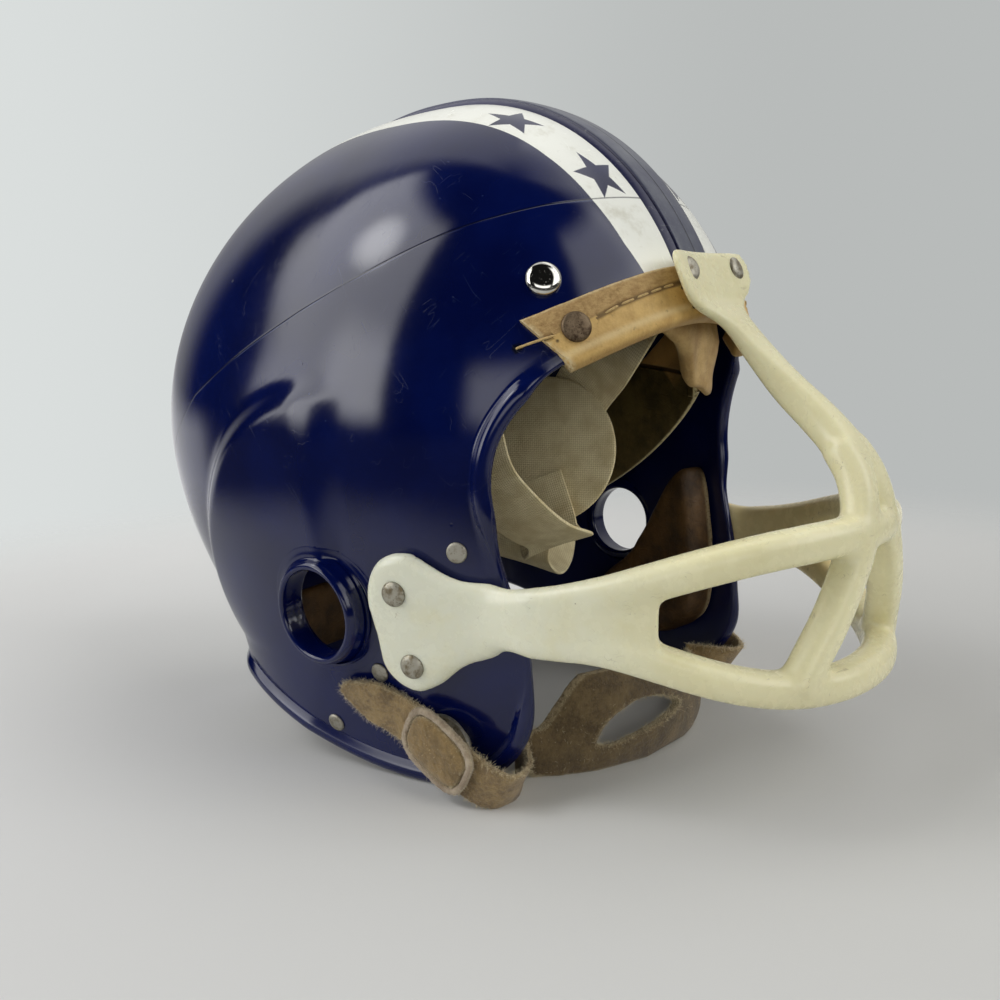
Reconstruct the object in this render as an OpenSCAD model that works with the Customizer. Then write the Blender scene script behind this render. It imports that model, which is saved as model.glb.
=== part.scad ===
// Child's football helmet: a moulded plastic shell with a two bar face guard,
// a leather brow band, a leather and canvas liner and a suede chin strap.
// The face looks along -Y, the wearer's right is -X and the floor is z = 0.

/* [Shell] */
// Half width of the shell at its widest level
shell_half_w = 97.2; // [90:0.2:104]
// Reach of the shell in front of its highest point
shell_front = 116; // [108:1:124]
// Reach of the shell behind its highest point
shell_rear = 142; // [132:1:152]
// Height of the crown above the datum of the lower edge
shell_top = 241.3; // [230:0.1:252]
// Level at which the shell is widest
widest_z = 117; // [111:1:123]
// Thickness of the moulded wall
wall = 3; // [2.4:0.1:3.6]
// How far the ear swelling stands out of the side
ear_swell = 4; // [2:0.5:6]
// Height of the lower edge's rolled bead above the wall
bead_h = 2.6; // [1.6:0.1:3.2]
// Height of the shell's front edge on the centre line
brow_edge_z = 160; // [156:1:164]
// Rise of the lower edge behind the ear
rim_arch = 35; // [28:1:40]
// Width of the raised ridge over the crown, with its sloping flanks
ridge_w = 24; // [20:1:28]
// Height of the raised ridge
ridge_h = 2.2; // [1.4:0.1:2.4]

/* [Ear holes] */
// Bore of an ear hole
ear_hole_d = 31; // [26:0.5:35]
// Width of the lip round an ear hole
ear_lip_w = 2.6; // [2:0.1:4]
// Height of the lip above the side of the shell
ear_lip_h = 4.4; // [3:0.1:6]

/* [Face guard] */
// How far the guard's arms stand out past the side plates at their root
arm_flare = 0.9; // [0.3:0.1:2]
// Reach of the bars in front of their root
guard_reach = 108.5; // [100:0.5:116]
// Height of a bar's section
bar_h = 11.4; // [9:0.2:13]
// Depth of a bar's section
bar_t = 12; // [9:0.2:14]
// Level of the upper bar at the front
upper_bar_z = 90.2; // [86:0.2:95]
// Level of the lower bar at the front
lower_bar_z = 43.6; // [41:0.2:48]
// Thickness of the guard's side and top plates
plate_t = 6; // [4.5:0.5:7]
// Half width of the top plate at its screws
top_plate_half_w = 18; // [16:0.5:21]

/* [Leather] */
// Width of the brow band above the shell's edge
band_w = 15.5; // [13:0.5:18]
// Half length of the brow band along the edge
band_half = 60; // [54:1:61]
// Thickness of the brow band's leather
band_t = 2.2; // [1.6:0.1:2.8]
// Height of the padded roll inside the brow
brow_pad_h = 28; // [22:1:32]
// Thickness of the padded roll
brow_pad_t = 8.5; // [7:0.5:10]
// Thickness of the jaw pads
jaw_pad_t = 14; // [9:0.5:16]
// Height of the headband
headband_w = 34; // [24:1:38]
// Thickness of the headband
headband_t = 2.6; // [1.6:0.2:3.4]

/* [Cradle] */
// Diameter of the canvas disc
disc_d = 58; // [48:1:64]
// Width of the cradle's straps
cradle_strap_w = 25; // [18:1:28]
// Thickness of the canvas
canvas_t = 1.8; // [1.2:0.1:2.4]

/* [Chin strap] */
// Width of the suede strap
strap_w = 17; // [14:0.5:18]
// Thickness of the suede
strap_t = 2; // [1.5:0.1:2.5]
// Height of the chin cup in the middle
cup_h = 37; // [32:1:42]
// Thickness of the chin cup
cup_t = 3; // [2.2:0.1:3.6]
// Length of the slot in the chin cup
cup_slot_l = 36; // [26:1:38]
// How far the middle of the cup lies pulled towards the wearer's right
cup_shift = 18; // [0:1:20]
// Height of the slot in the chin cup
cup_slot_h = 14; // [10:0.5:16]

/* [Metal] */
// Diameter of a face guard screw's head
screw_head_d = 8.6; // [7:0.2:9.6]
// Diameter of a face guard screw's shank
screw_d = 4; // [3:0.1:4.4]
// Diameter of the domed snaps on the brow
snap_dome_d = 11.5; // [10:0.5:14]
// Diameter of a liner rivet's head
rivet_head_d = 7; // [5.6:0.2:8]
// Diameter of the jaw snap's post
post_d = 6; // [5:0.2:7]
// Length of the strap keeper
keeper_l = 30; // [28:0.5:32]
// Height of the strap keeper
keeper_h = 22; // [21:0.5:24]

/* [Hidden] */
$fn = 48;

// Powers of the shell's curves: in plan, then from the widest level to the crown
front_power = 2.33;
rear_power = 2.38;
side_rise = 1.86;
front_rise = 2.16;
rear_rise = 1.96;
// How far each side draws in below the widest level
side_draw = 0.18;
front_draw = -0.30;
rear_draw = 0.78;
// The rear wall drops straight down below this level
nape_straight_z = 38;

// Ear swelling: a round boss on the side, sharp behind and open in front
swell_y = -20;
swell_z = 60;
swell_r = 84;
swell_edge = 11;

// Lower edge: its level in front, where it starts to rise, and the nape's drop
rim_z0 = 3;
rim_start_y = -44;
rim_run = 150;
nape_drop_y = 50;
nape_drop_run = 44;
brow_half = 61;
brow_sag = 0.004;
// Front edge of the cheek from the brow to the jaw, as y and z
cheek_edge = [
    [-93, 143.5], [-84.5, 135.5], [-77.5, 122], [-75, 107], [-77, 92], [-80.5, 76],
    [-85, 60], [-86.5, 42], [-83, 25], [-74.5, 13.5], [-62, 5.5]
];
// Rolled and plain sections of the shell's edge, as distance in from the edge
// and height over the outer face, both in shares of the bead and of the wall
bead_section = [
    [0.2, -1, 0], [-0.62, -0.87, 0], [-1.08, -0.27, 0], [-1, 0, 0.46],
    [-0.31, 0, 1], [0.62, 0, 0.92], [1.23, 0, 0.35], [1.5, 0, 0]
];
plain_section = [
    [0.5, -1, 0], [0.2, -0.93, 0], [0, -0.75, 0], [0, -0.5, 0],
    [0, -0.25, 0], [0.2, -0.07, 0], [0.5, 0, 0], [1.5, 0, 0]
];
shell_rows = 13;
lining_rows = 12;
// Point that the shell's rows are seen from, and the direction they close on
core = [0, 0, 110];
pole = [0, 0.46, 0.89];

// Seats: cloth and leather stand this far off what they lie on
soft_gap = 0.3;
// Depth that the ridge is moulded into the wall
ridge_sunk = 0.5;
// Width of a flank, from the ridge's foot to the edge of its flat face
ridge_flank = 3.6;
// Play of a shank in its hole, on the radius
shank_play = 0.25;
// Depth of the flat that a head or a nut is let into
seat_cut = 0.35;
// Running play of the jaw snap on its post, on the radius
post_play = 0.05;

// Middle of an ear hole, and the way its bore looks out of the left side
ear_y = -14.5;
ear_z = 61.5;
ear_way = unit([1, -0.03, -0.05]);
// How far the lip's root stands into the shell past the wall
lip_root = 2;

// Guard: where its bars leave the sides, and the bars' level at that root
guard_root_y = -60;
upper_root_z = 71.5;
lower_root_z = 60.9;
arm_start = 0.13;
arm_end = 0.64;
arm_t = 10;
// Outline of the side plate behind the arm, as y and z, and its middle
plate_outline = [
    [-50, 86], [-41, 82], [-36.5, 71], [-38.5, 57], [-40, 45], [-49, 38.5],
    [-60, 41], [-69, 48.5], [-80, 53], [-81, 65], [-80, 77], [-68, 79], [-59, 83.5]
];
plate_middle = [-57, 63];
side_screws = [[-48, 73], [-51.5, 48.5]];
top_screw_x = 12;
top_screw_up = 12;
// Nose bar on the centre line below the top plate, as y, z and half width
nose_path = [
    [-121.5, 155.5, 9.5], [-130, 145, 7.4], [-140, 134, 6.5], [-150, 124.8, 6.5],
    [-158, 116.5, 7.6], [-163.5, 108, 9]
];
// One of the two legs under the nose bar, as x, y and z
leg_path = [
    [3.4, -158.5, 116], [4.6, -164, 108], [6.6, -167, 99], [9.6, -168, 89],
    [15.5, -167.6, 79], [24, -165.3, 65], [32.5, -161.3, 51], [36, -160, 45]
];

// How far the brow band's upper corners run past its lower ones
band_slant = 5.5;
brow_rivet_x = 55;
brow_rivet_up = 8;
crown_snap = [59, -85, 170.5];
liner_rivets = [[-67, 86], [-33, 40.5], [-7.5, 16]];
// Jaw pad's outline inside the cheek, as y and z, and its middle
jaw_outline = [
    [-68, 92], [-58, 86], [-46, 68], [-34, 50], [-20, 36], [-3, 20], [-4, 11],
    [-24, 12], [-48, 14], [-66, 22], [-75, 34], [-76, 55], [-73, 78]
];
jaw_middle = [-50, 44];

// Headband: plan about this y, and how its lower edge climbs to the brow
headband_y = 12;
headband_half_w = 66;
headband_front = 106;
headband_rear = 92;
headband_low_z = 66;
headband_climb = 60;

disc_at = [-2, -41, 108];
disc_facing = unit([-0.94, -0.28, 0.18]);
disc_right = unit(cross([0, 0, 1], disc_facing));
disc_up = cross(disc_facing, disc_right);

// Jaw snap: the chin strap turns on its post
snap_y = -58.5;
snap_z = 18.5;
snap_disc_d = 22;
// Keeper and cap on the strap: their tilt, thickness and the keeper's rim
strap_tilt = 32;
keeper_t = 2.4;
keeper_rim = 3;
cap_t = 2.7;

y_shift = (guard_reach + bar_t / 2 - guard_root_y - shell_rear - ridge_h) / 2;
lift = 1.08 * bead_h - rim_z0;

function clamp(v, lo, hi) = min(hi, max(lo, v));
function ease(v) = let (s = clamp(v, 0, 1)) s * s * (3 - 2 * s);
function mixed(a, b, s) = a + (b - a) * s;
function unit(v) = v / norm(v);
function flip_x(p) = [-p[0], p[1], p[2]];
function turned(list) = [for (i = [len(list) - 1 : -1 : 0]) list[i]];

// Half sizes of the shell's level sections
function rise(z) = clamp((z - widest_z) / (shell_top - widest_z), 0, 1);
function fall(z, most) = clamp((widest_z - z) / widest_z, 0, most);
function drawn(z, power, draw, most) =
    pow(1 - pow(rise(z), power), 1 / power) * (1 - draw * pow(fall(z, most), 2));
function across(z) = shell_half_w * drawn(z, side_rise, side_draw, 1.2);
function ahead(z) = shell_front * drawn(z, front_rise, front_draw, 1.2);
function behind(z) =
    shell_rear * drawn(z, rear_rise, rear_draw, (widest_z - nape_straight_z) / widest_z);

// Swelling round the ear: full inside its circle, fading out below and in front
function swell(y, z) =
    let (
        r = norm([y - swell_y, z - swell_z]),
        turn = atan2(z - swell_z, y - swell_y),
        side = turn > 0 ? ease((100 - turn) / 22) : clamp((120 + turn) / 60, 0, 1)
    )
    ear_swell * ease((swell_r - r) / swell_edge) * side;

// Under 1 inside the shell's outer face, over 1 outside it
function level(p) =
    let (
        a = max(0.001, across(p[2]) + swell(p[1], p[2])),
        b = max(0.001, p[1] < 0 ? ahead(p[2]) : behind(p[2])),
        k = p[1] < 0 ? front_power : rear_power
    )
    p[2] > shell_top ? 2 : pow(abs(p[0]) / a, k) + pow(abs(p[1]) / b, k);
function reach(way, lo = 0.3 * shell_half_w, hi = 2 * shell_rear, turns = 18) =
    let (m = (lo + hi) / 2)
    turns == 0 ? m
    : level(core + m * way) < 1 ? reach(way, m, hi, turns - 1)
    : reach(way, lo, m, turns - 1);
function along(way) = core + reach(way) * way;
function on_shell(p) = along(unit(p - core));
function slope(p, step) = level(p + step) - level(p - step);
function out(p) = unit([slope(p, [0.05, 0, 0]), slope(p, [0, 0.05, 0]), slope(p, [0, 0, 0.05])]);
function off_shell(p, h) = p + h * out(p);

// Points of the outer face: on the left side by y and z, in front by x and z
function narrowing(v, k) = pow(max(0, 1 - pow(v, k)), 1 / k);
function side_x(y, z) =
    let (b = y < 0 ? ahead(z) : behind(z), k = y < 0 ? front_power : rear_power)
    (across(z) + swell(y, z)) * narrowing(abs(y) / b, k);
function side_point(y, z) = [side_x(y, z), y, z];
function front_point(x, z) = [x, -ahead(z) * narrowing(abs(x) / across(z), front_power), z];
function rear_point(x, z) = [x, behind(z) * narrowing(abs(x) / across(z), rear_power), z];

// Level of the lower edge, and its points round the back, by angle from the rear
function rim_z(y) =
    let (climb = (1 - cos(180 * clamp((y - rim_start_y) / rim_run, 0, 1))) / 2)
    rim_z0 + rim_arch * climb * (1 - ease((y - nape_drop_y) / nape_drop_run));
function rim_behind(a, z = 10, turns = 4) =
    let (
        f = pow(pow(sin(a), rear_power) + pow(cos(a), rear_power), -1 / rear_power),
        y = behind(z) * cos(a) * f,
        x = (across(z) + swell(y, z)) * sin(a) * f
    )
    turns == 0 ? [x, y, z] : rim_behind(a, rim_z(y), turns - 1);

// Smooth curve through chosen points, k steps to a span
function spline(a, b, c, d, t) =
    b + t * (c - a) / 2 + t * t * (a - 2.5 * b + 2 * c - d / 2)
    + t * t * t * ((d - a) / 2 + 1.5 * (b - c));
function curve(p, k) = let (n = len(p) - 1) [
    for (i = [0 : n - 1], j = [0 : k - 1])
        spline(p[max(0, i - 1)], p[i], p[i + 1], p[min(n, i + 2)], j / k),
    p[n]
];
// Path with its corners cut back twice, which keeps inside the chosen points
function softened(p) = let (n = len(p) - 1) concat(
    [p[0]],
    [for (i = [0 : n - 1]) each concat(
        i > 0 ? [mixed(p[i], p[i + 1], 0.25)] : [],
        i < n - 1 ? [mixed(p[i], p[i + 1], 0.75)] : [])],
    [p[n]]
);
function eased_path(p) = softened(softened(p));
function ring_curve(p, k) = let (n = len(p)) [
    for (i = [0 : n - 1], j = [0 : k - 1])
        spline(p[(i + n - 1) % n], p[i], p[(i + 1) % n], p[(i + 2) % n], j / k)
];

// Edge of the shell: brow, cheek, lower edge and nape on the left, then the right
function half_edge() = concat(
    [for (i = [0 : 7]) let (x = brow_half * i / 8) front_point(x, brow_z(x))],
    [for (p = curve(cheek_edge, 2)) side_point(p[0], p[1])],
    [for (y = [-53 : 8.5 : -7]) side_point(y, rim_z(y))],
    [for (a = [90 : -6 : 0]) rim_behind(a)]
);
function brow_z(x) = brow_edge_z - brow_sag * x * x;
function whole_edge() = let (h = half_edge(), n = len(h))
    concat(h, [for (i = [n - 2 : -1 : 1]) flip_x(h[i])]);
// No bead under the brow band, nor where the guard crosses the edge
function bead_share(p) =
    ease((143 - p[2]) / 8) * (1 - ease((p[2] - 38) / 8) * ease((92 - p[2]) / 8));

// Closed skin over rings of points with an even count, which run
// counter-clockwise when seen from the last ring
module skin(rings, looped = false) {
    n = len(rings[0]);
    m = len(rings);
    sides = [
        for (j = [0 : looped ? m - 1 : m - 2], i = [0 : n - 1])
        let (a = j * n, b = ((j + 1) % m) * n, k = (i + 1) % n)
        each [[a + i, b + k, a + k], [a + i, b + i, b + k]]
    ];
    ends = looped ? [] : [
        for (i = [0 : n / 2 - 2])
        let (k = n - 1 - i, e = (m - 1) * n)
        each [
            [i, k - 1, k], [i, i + 1, k - 1],
            [e + i, e + k, e + k - 1], [e + i, e + k - 1, e + i + 1]
        ]
    ];
    polyhedron([for (r = rings, p = r) p], concat(sides, ends));
}

// Section of a bar or strap: a rounded oblong with half sizes w and h
function rounded(w, h, n, power = 2.6) = [
    for (i = [0 : n - 1])
    let (a = 360 * (i + 0.5) / n, c = cos(a), s = sin(a))
    [w * sign(c) * pow(abs(c), 2 / power), h * sign(s) * pow(abs(s), 2 / power)]
];
function laid(at, side, up, section) = [for (s = section) at + s[0] * side + s[1] * up];
function heading(path, i) = unit(path[min(len(path) - 1, i + 1)] - path[max(0, i - 1)]);

// Tape or bar along a path, with its width turned along the vectors in broad
module tape(path, broad, w, t, n = 8) {
    skin([
        for (i = [0 : len(path) - 1])
        let (
            fore = heading(path, i),
            up = unit(cross(fore, broad[i])),
            side = cross(up, fore)
        )
        laid(path[i], side, up, rounded(w / 2, t / 2, n, 6))
    ]);
}

module both_sides() {
    children();
    mirror([1, 0, 0]) children();
}
module aim(p, way) {
    translate(p) rotate([0, acos(way[2]), atan2(way[1], way[0])]) children();
}
module stand_on_floor() {
    translate([0, y_shift, lift]) children();
}

// Cutter for one fastener, from the sizes of its head, its nut or washer and its
// shank: a hole with a seat at each end
module fastener_cut(head_d, head_at, foot_d, foot_at, shank_d) {
    head = head_d / 2 + seat_play;
    foot = foot_d / 2 + seat_play;
    hole = shank_d / 2 + shank_play;
    rotate_extrude() polygon([
        [0, foot_at - 6], [foot, foot_at - 6], [foot, foot_at], [hole, foot_at],
        [hole, head_at], [head, head_at], [head, head_at + 9], [0, head_at + 9]
    ]);
}
function dome(d, h) = [for (a = [0 : 15 : 75]) [d / 2 * cos(a), h * sin(a)]];
module domed_pin(head_d, head_h, head_at, shank_d, foot_at) {
    rotate_extrude() polygon(concat(
        [[0, foot_at], [shank_d / 2, foot_at], [shank_d / 2, head_at]],
        [for (p = dome(head_d, head_h)) [p[0], head_at + p[1]]],
        [[0, head_at + head_h]]
    ));
}

// Where the fasteners stand, each as a point of the outer face on the left
plate_top = soft_gap + plate_t;
band_top = soft_gap + band_t;
top_plate_low = band_top + soft_gap;
function brow_spot(x, up) =
    let (e = front_point(x, brow_z(x))) on_shell(e + up * brow_up(x));
function brow_up(x) =
    let (
        e = front_point(x, brow_z(x)),
        f = front_point(x + 0.5, brow_z(x + 0.5)),
        g = front_point(x - 0.5, brow_z(x - 0.5))
    )
    unit(cross(out(e), f - g));
module at_top_screw() {
    p = brow_spot(top_screw_x, top_screw_up);
    aim(p, out(p)) children();
}
module at_side_screws() {
    for (s = side_screws)
        let (p = side_point(s[0], s[1])) aim(p, out(p)) children();
}
module at_brow_rivet() {
    p = brow_spot(brow_rivet_x, brow_rivet_up);
    aim(p, out(p)) children();
}
module at_crown_snap() {
    p = on_shell(crown_snap);
    aim(p, out(p)) children();
}
module at_liner_rivets() {
    for (s = liner_rivets)
        let (p = side_point(s[0], s[1])) aim(p, out(p)) children();
}
snap_x = side_x(snap_y, snap_z);
snap_face = side_x(snap_y + keeper_l / 2, snap_z + 6) + 1.2;
module at_jaw_snap() {
    translate([0, snap_y, snap_z]) rotate([0, 90, 0]) children();
}

// Fasteners: heads, shanks, and the nuts or washers inside
screw_head_h = 2;
nut_d = 9;
nut_h = 3;
brow_rivet_d = 9.8;
brow_rivet_h = 2;
pin_d = 4;
washer_d = 8;
washer_h = 1.2;
snap_dome_h = 3.4;
snap_foot_d = 10;
liner_pin_d = 3;
rivet_head_h = 1.3;
// Play of a head, nut or washer in its seat, on the radius
seat_play = 0.5;
top_head_at = top_plate_low + plate_t - seat_cut;
side_head_at = plate_top - seat_cut;
wall_seat = -wall + seat_cut;
rivet_seat = -seat_cut;
brow_rivet_head = band_top - seat_cut;
module top_screw_cut() {
    at_top_screw() fastener_cut(screw_head_d, top_head_at, nut_d, wall_seat, screw_d);
}
module side_screw_cuts() {
    at_side_screws() fastener_cut(screw_head_d, side_head_at, nut_d, wall_seat, screw_d);
}
module brow_rivet_cut() {
    at_brow_rivet() fastener_cut(brow_rivet_d, brow_rivet_head, washer_d, wall_seat, pin_d);
}

module shell_blank() {
    edge = whole_edge();
    n = len(edge);
    faces = [
        for (i = [0 : n - 1])
        let (
            e = edge[i],
            o = out(e),
            run = unit(edge[(i + 1) % n] - edge[(i + n - 1) % n])
        )
        [e, o, unit(cross(o, run)), bead_share(e)]
    ];
    starts = [for (f = faces) unit(on_shell(f[0] + 8 * f[2]) - core)];
    close = unit(pole);
    function slid(a, s) = let (w = acos(clamp(a * close, -1, 1)))
        (sin((1 - s) * w) * a + sin(s * w) * close) / sin(w);
    outer = [
        for (j = [0 : shell_rows])
        [for (a = starts) along(slid(a, 0.97 * j / shell_rows))]
    ];
    inner = [
        for (j = [lining_rows : -1 : 0])
        [for (a = starts) off_shell(along(slid(a, 0.97 * j / lining_rows)), -wall)]
    ];
    bead = [
        for (k = [0 : len(bead_section) - 1])
        [for (f = faces)
            let (s = mixed(plain_section[k], bead_section[k], f[3]))
            f[0] + s[0] * bead_h * f[2] + (s[1] * wall + s[2] * bead_h) * f[1]]
    ];
    skin(concat(inner, bead, outer));
}
// Raised ridge from the brow band over the crown to the nape, with bevelled edges
module crown_ridge() color([0.22, 0.24, 0.32]) {
    low = asin(unit(front_point(0, brow_edge_z + band_w + 1) - core)[2]);
    foot = ridge_w / 2;
    face = foot - ridge_flank;
    section = [
        [-foot, -ridge_sunk], [foot, -ridge_sunk], [foot, 0.1], [face + 0.5, ridge_h * 0.5],
        [face, ridge_h], [-face, ridge_h], [-face - 0.5, ridge_h * 0.5], [-foot, 0.1]
    ];
    turns = 34;
    skin([
        for (i = [0 : turns])
        let (a = mixed(low, 217, i / turns), p = along([0, -cos(a), sin(a)]))
        laid(p, [-1, 0, 0], out(p), section)
    ]);
}
module at_ear() {
    aim(side_point(ear_y, ear_z), ear_way) children();
}
module ear_lip() {
    root = -wall - lip_root;
    top = ear_lip_h;
    r = ear_hole_d / 2;
    at_ear() rotate_extrude() polygon([
        [r - 1, root], [r + ear_lip_w + 1, root], [r + ear_lip_w + 1, top - 3.4],
        [r + ear_lip_w, top - 1.4], [r + ear_lip_w - 0.5, top - 0.4],
        [r + ear_lip_w - 1.1, top], [r - 1, top]
    ]);
}
module shell() color([0.10, 0.14, 0.29]) {
    difference() {
        union() {
            shell_blank();
            both_sides() ear_lip();
        }
        both_sides() {
            at_ear() translate([0, 0, -25]) cylinder(d = ear_hole_d, h = 50);
            top_screw_cut();
            side_screw_cuts();
            brow_rivet_cut();
            at_crown_snap()
                fastener_cut(snap_dome_d, rivet_seat, snap_foot_d, wall_seat, pin_d);
            at_liner_rivets()
                fastener_cut(rivet_head_d, rivet_seat, 2 * liner_pin_d, wall_seat, liner_pin_d);
            at_jaw_snap() translate([0, 0, snap_x - 16]) cylinder(d = 4.5, h = 40);
            at_jaw_snap() translate([0, 0, snap_x - 1]) cylinder(d = 14.6, h = 20);
            at_jaw_snap() translate([0, 0, snap_face - 1.5])
                cylinder(d = snap_disc_d + 1, h = 20);
        }
    }
}

// Half width of the bars' sweep, which meets the side plates at the arms' root
guard_half_w = (
    side_x(guard_root_y - guard_reach * arm_start, (upper_root_z + lower_root_z) / 2)
    + plate_top - plate_t / 2 + arm_flare
) / sqrt(1 - arm_start * arm_start);

// Level and place of the bars, by the share of their reach
function bar_at(e, z) = [guard_half_w * sqrt(max(0, 1 - e * e)), guard_root_y - guard_reach * e, z];
function upper_z(e) = mixed(upper_root_z, upper_bar_z, ease((e - 0.25) / 0.75));
function lower_z(e) = mixed(lower_root_z, lower_bar_z, ease((e - 0.45) / 0.55));
module bar(upper) {
    from = asin(0.3);
    turns = 26;
    path = [
        for (i = [0 : turns])
        let (
            a = mixed(from, 180 - from, i / turns),
            e = sin(a),
            p = bar_at(e, upper ? upper_z(e) : lower_z(e))
        )
        a > 90 ? flip_x(p) : p
    ];
    skin([
        for (i = [0 : turns])
        let (
            fore = heading(path, i),
            side = unit(cross([0, 0, 1], fore)),
            t = mixed(arm_t - 1.4, bar_t, ease((-path[i][1] + guard_root_y - 36) / 30))
        )
        laid(path[i], side, cross(fore, side), rounded(t / 2, bar_h / 2, 12, 2.3))
    ]);
}
// The broad arm that joins both bars to a side plate
module arm() {
    steps = 8;
    path = [
        for (i = [0 : steps])
        let (e = mixed(arm_start, arm_end, i / steps))
        bar_at(e, (upper_z(e) + lower_z(e)) / 2)
    ];
    skin([
        for (i = [0 : steps])
        let (
            e = mixed(arm_start, arm_end, i / steps),
            fore = heading(path, i),
            side = unit(cross([0, 0, 1], fore)),
            t = mixed(plate_t, arm_t, ease((e - arm_start) / 0.16)),
            h = (upper_z(e) - lower_z(e) + bar_h) / 2
        )
        laid(path[i], side, cross(fore, side), rounded(t / 2, h, 12, 4.5))
    ]);
}
// Patch on the side of the shell between two heights, with rounded rims
module side_patch(outline, middle, low, high, soft = 1, steps = 2) {
    round_trip = ring_curve(outline, steps);
    loop = high < low ? round_trip : turned(round_trip);
    skin([
        for (r = [
            [0.3, low], [0.65, low], [1 - 0.03 * soft, low], [1, mixed(low, high, 0.25)],
            [1, mixed(low, high, 0.65)], [1 - 0.05 * soft, mixed(low, high, 0.92)],
            [1 - 0.13 * soft, high], [0.6, high], [0.3, high]
        ])
        [for (p = loop)
            let (q = middle + r[0] * (p - middle), s = side_point(q[0], q[1]))
            off_shell(s, r[1])]
    ]);
}
// Top plate over the brow band, drawn down into the nose bar
module nose_bar() {
    mid = top_plate_low + plate_t / 2;
    top = [[band_w + 2.5, 0.8], [band_w + 0.8, 0.95], [top_screw_up, 1], [6, 0.96], [0, 0.78]];
    rings = concat(
        [for (s = top)
            let (
                p = off_shell(brow_spot(0, s[0]), mid),
                thin = s[0] > band_w + 2 ? 1 : 0
            )
            [p[1], p[2], top_plate_half_w * s[1], plate_t / 2 - thin, 1]],
        [for (i = [0 : len(nose_path) - 1])
            let (p = nose_path[i], s = ease((i + 1) / 4))
            [p[0], p[1], p[2], mixed(plate_t / 2, bar_t / 2, s), i == 0 ? 0.3 : 0]]
    );
    path = [for (r = rings) [0, r[0], r[1]]];
    skin([
        for (i = [0 : len(rings) - 1])
        let (
            r = rings[i],
            fore = heading(path, i),
            up = unit(cross(fore, [-1, 0, 0]))
        )
        [for (s = rounded(r[2], r[3], 16, i < 4 ? 5 : 2.5))
            path[i] + s[0] * [-1, 0, 0]
            + (s[1] - r[4] * 0.0052 * s[0] * s[0]) * up]
    ]);
}
module leg() {
    path = curve(leg_path, 2);
    skin([
        for (i = [0 : len(path) - 1])
        let (fore = heading(path, i), side = unit(cross([0, 1, 0], fore)))
        laid(path[i], side, cross(fore, side), rounded(6.1, bar_t / 2 - 0.4, 10, 2.3))
    ]);
}
module face_guard() color([0.78, 0.77, 0.65]) {
    difference() {
        union() {
            bar(true);
            bar(false);
            nose_bar();
            both_sides() {
                arm();
                side_patch(plate_outline, plate_middle, soft_gap, plate_top);
                leg();
            }
        }
        both_sides() {
            top_screw_cut();
            side_screw_cuts();
        }
    }
}

// Plain domed head and shank, from under the head down through the nut
module domed_screw(head_at) {
    domed_pin(screw_head_d, screw_head_h, head_at, screw_d, wall_seat - nut_h - 1);
}
module guard_top_screws() color([0.55, 0.54, 0.5]) {
    both_sides() at_top_screw() domed_screw(top_head_at);
}
module guard_side_screws() color([0.55, 0.54, 0.5]) {
    both_sides() at_side_screws() domed_screw(side_head_at);
}
module nut() {
    translate([0, 0, wall_seat - nut_h]) difference() {
        cylinder(d = nut_d, h = nut_h, $fn = 6);
        translate([0, 0, -1]) cylinder(d = screw_d + 2 * post_play, h = nut_h + 2);
    }
}
module guard_nuts() color([0.5, 0.5, 0.47]) {
    both_sides() {
        at_top_screw() nut();
        at_side_screws() nut();
    }
}

// Point near the brow edge: up along the face from the edge, then off the face
function brow_skin(x, up, h) =
    let (e = front_point(x, brow_z(x)), t = brow_up(x))
    up > 0 ? off_shell(on_shell(e + up * t), h) : e + up * t + h * out(e);
module brow_band() color([0.66, 0.55, 0.37]) {
    lie = -wall - soft_gap;
    section = [
        [band_w, band_top], [band_w * 0.5, band_top], [1, band_top], [-2.6, band_top - 0.9],
        [-3.9, -wall / 2], [-2.6, lie - band_t + 0.7], [1, lie - band_t], [6.5, lie - band_t],
        [6.5, lie], [0.4, lie], [-1, lie + 0.8], [-1.4, -wall / 2], [-1, -0.4], [0.4, soft_gap],
        [band_w * 0.5, soft_gap], [band_w, soft_gap]
    ];
    steps = 22;
    difference() {
        skin([
            for (i = [0 : steps])
            [for (s = section)
                let (end = band_half + band_slant * clamp(s[0] / band_w, 0, 1))
                brow_skin(mixed(-end, end, i / steps), s[0], s[1])]
        ]);
        both_sides() {
            top_screw_cut();
            brow_rivet_cut();
        }
    }
}
module brow_rivets() color([0.45, 0.4, 0.3]) {
    both_sides() at_brow_rivet() {
        domed_pin(brow_rivet_d, brow_rivet_h, brow_rivet_head, pin_d, wall_seat - washer_h);
        translate([0, 0, wall_seat - washer_h]) difference() {
            cylinder(d = washer_d, h = washer_h);
            translate([0, 0, -1]) cylinder(d = pin_d + 2 * post_play, h = washer_h + 2);
        }
    }
}
module crown_snaps() color([0.8, 0.8, 0.8]) {
    both_sides() at_crown_snap()
        domed_pin(snap_dome_d, snap_dome_h, rivet_seat, pin_d, -wall - 1.15);
}
module liner_rivets() color([0.6, 0.58, 0.5]) {
    both_sides() at_liner_rivets()
        domed_pin(rivet_head_d, rivet_head_h, rivet_seat, liner_pin_d, -wall);
}

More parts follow.
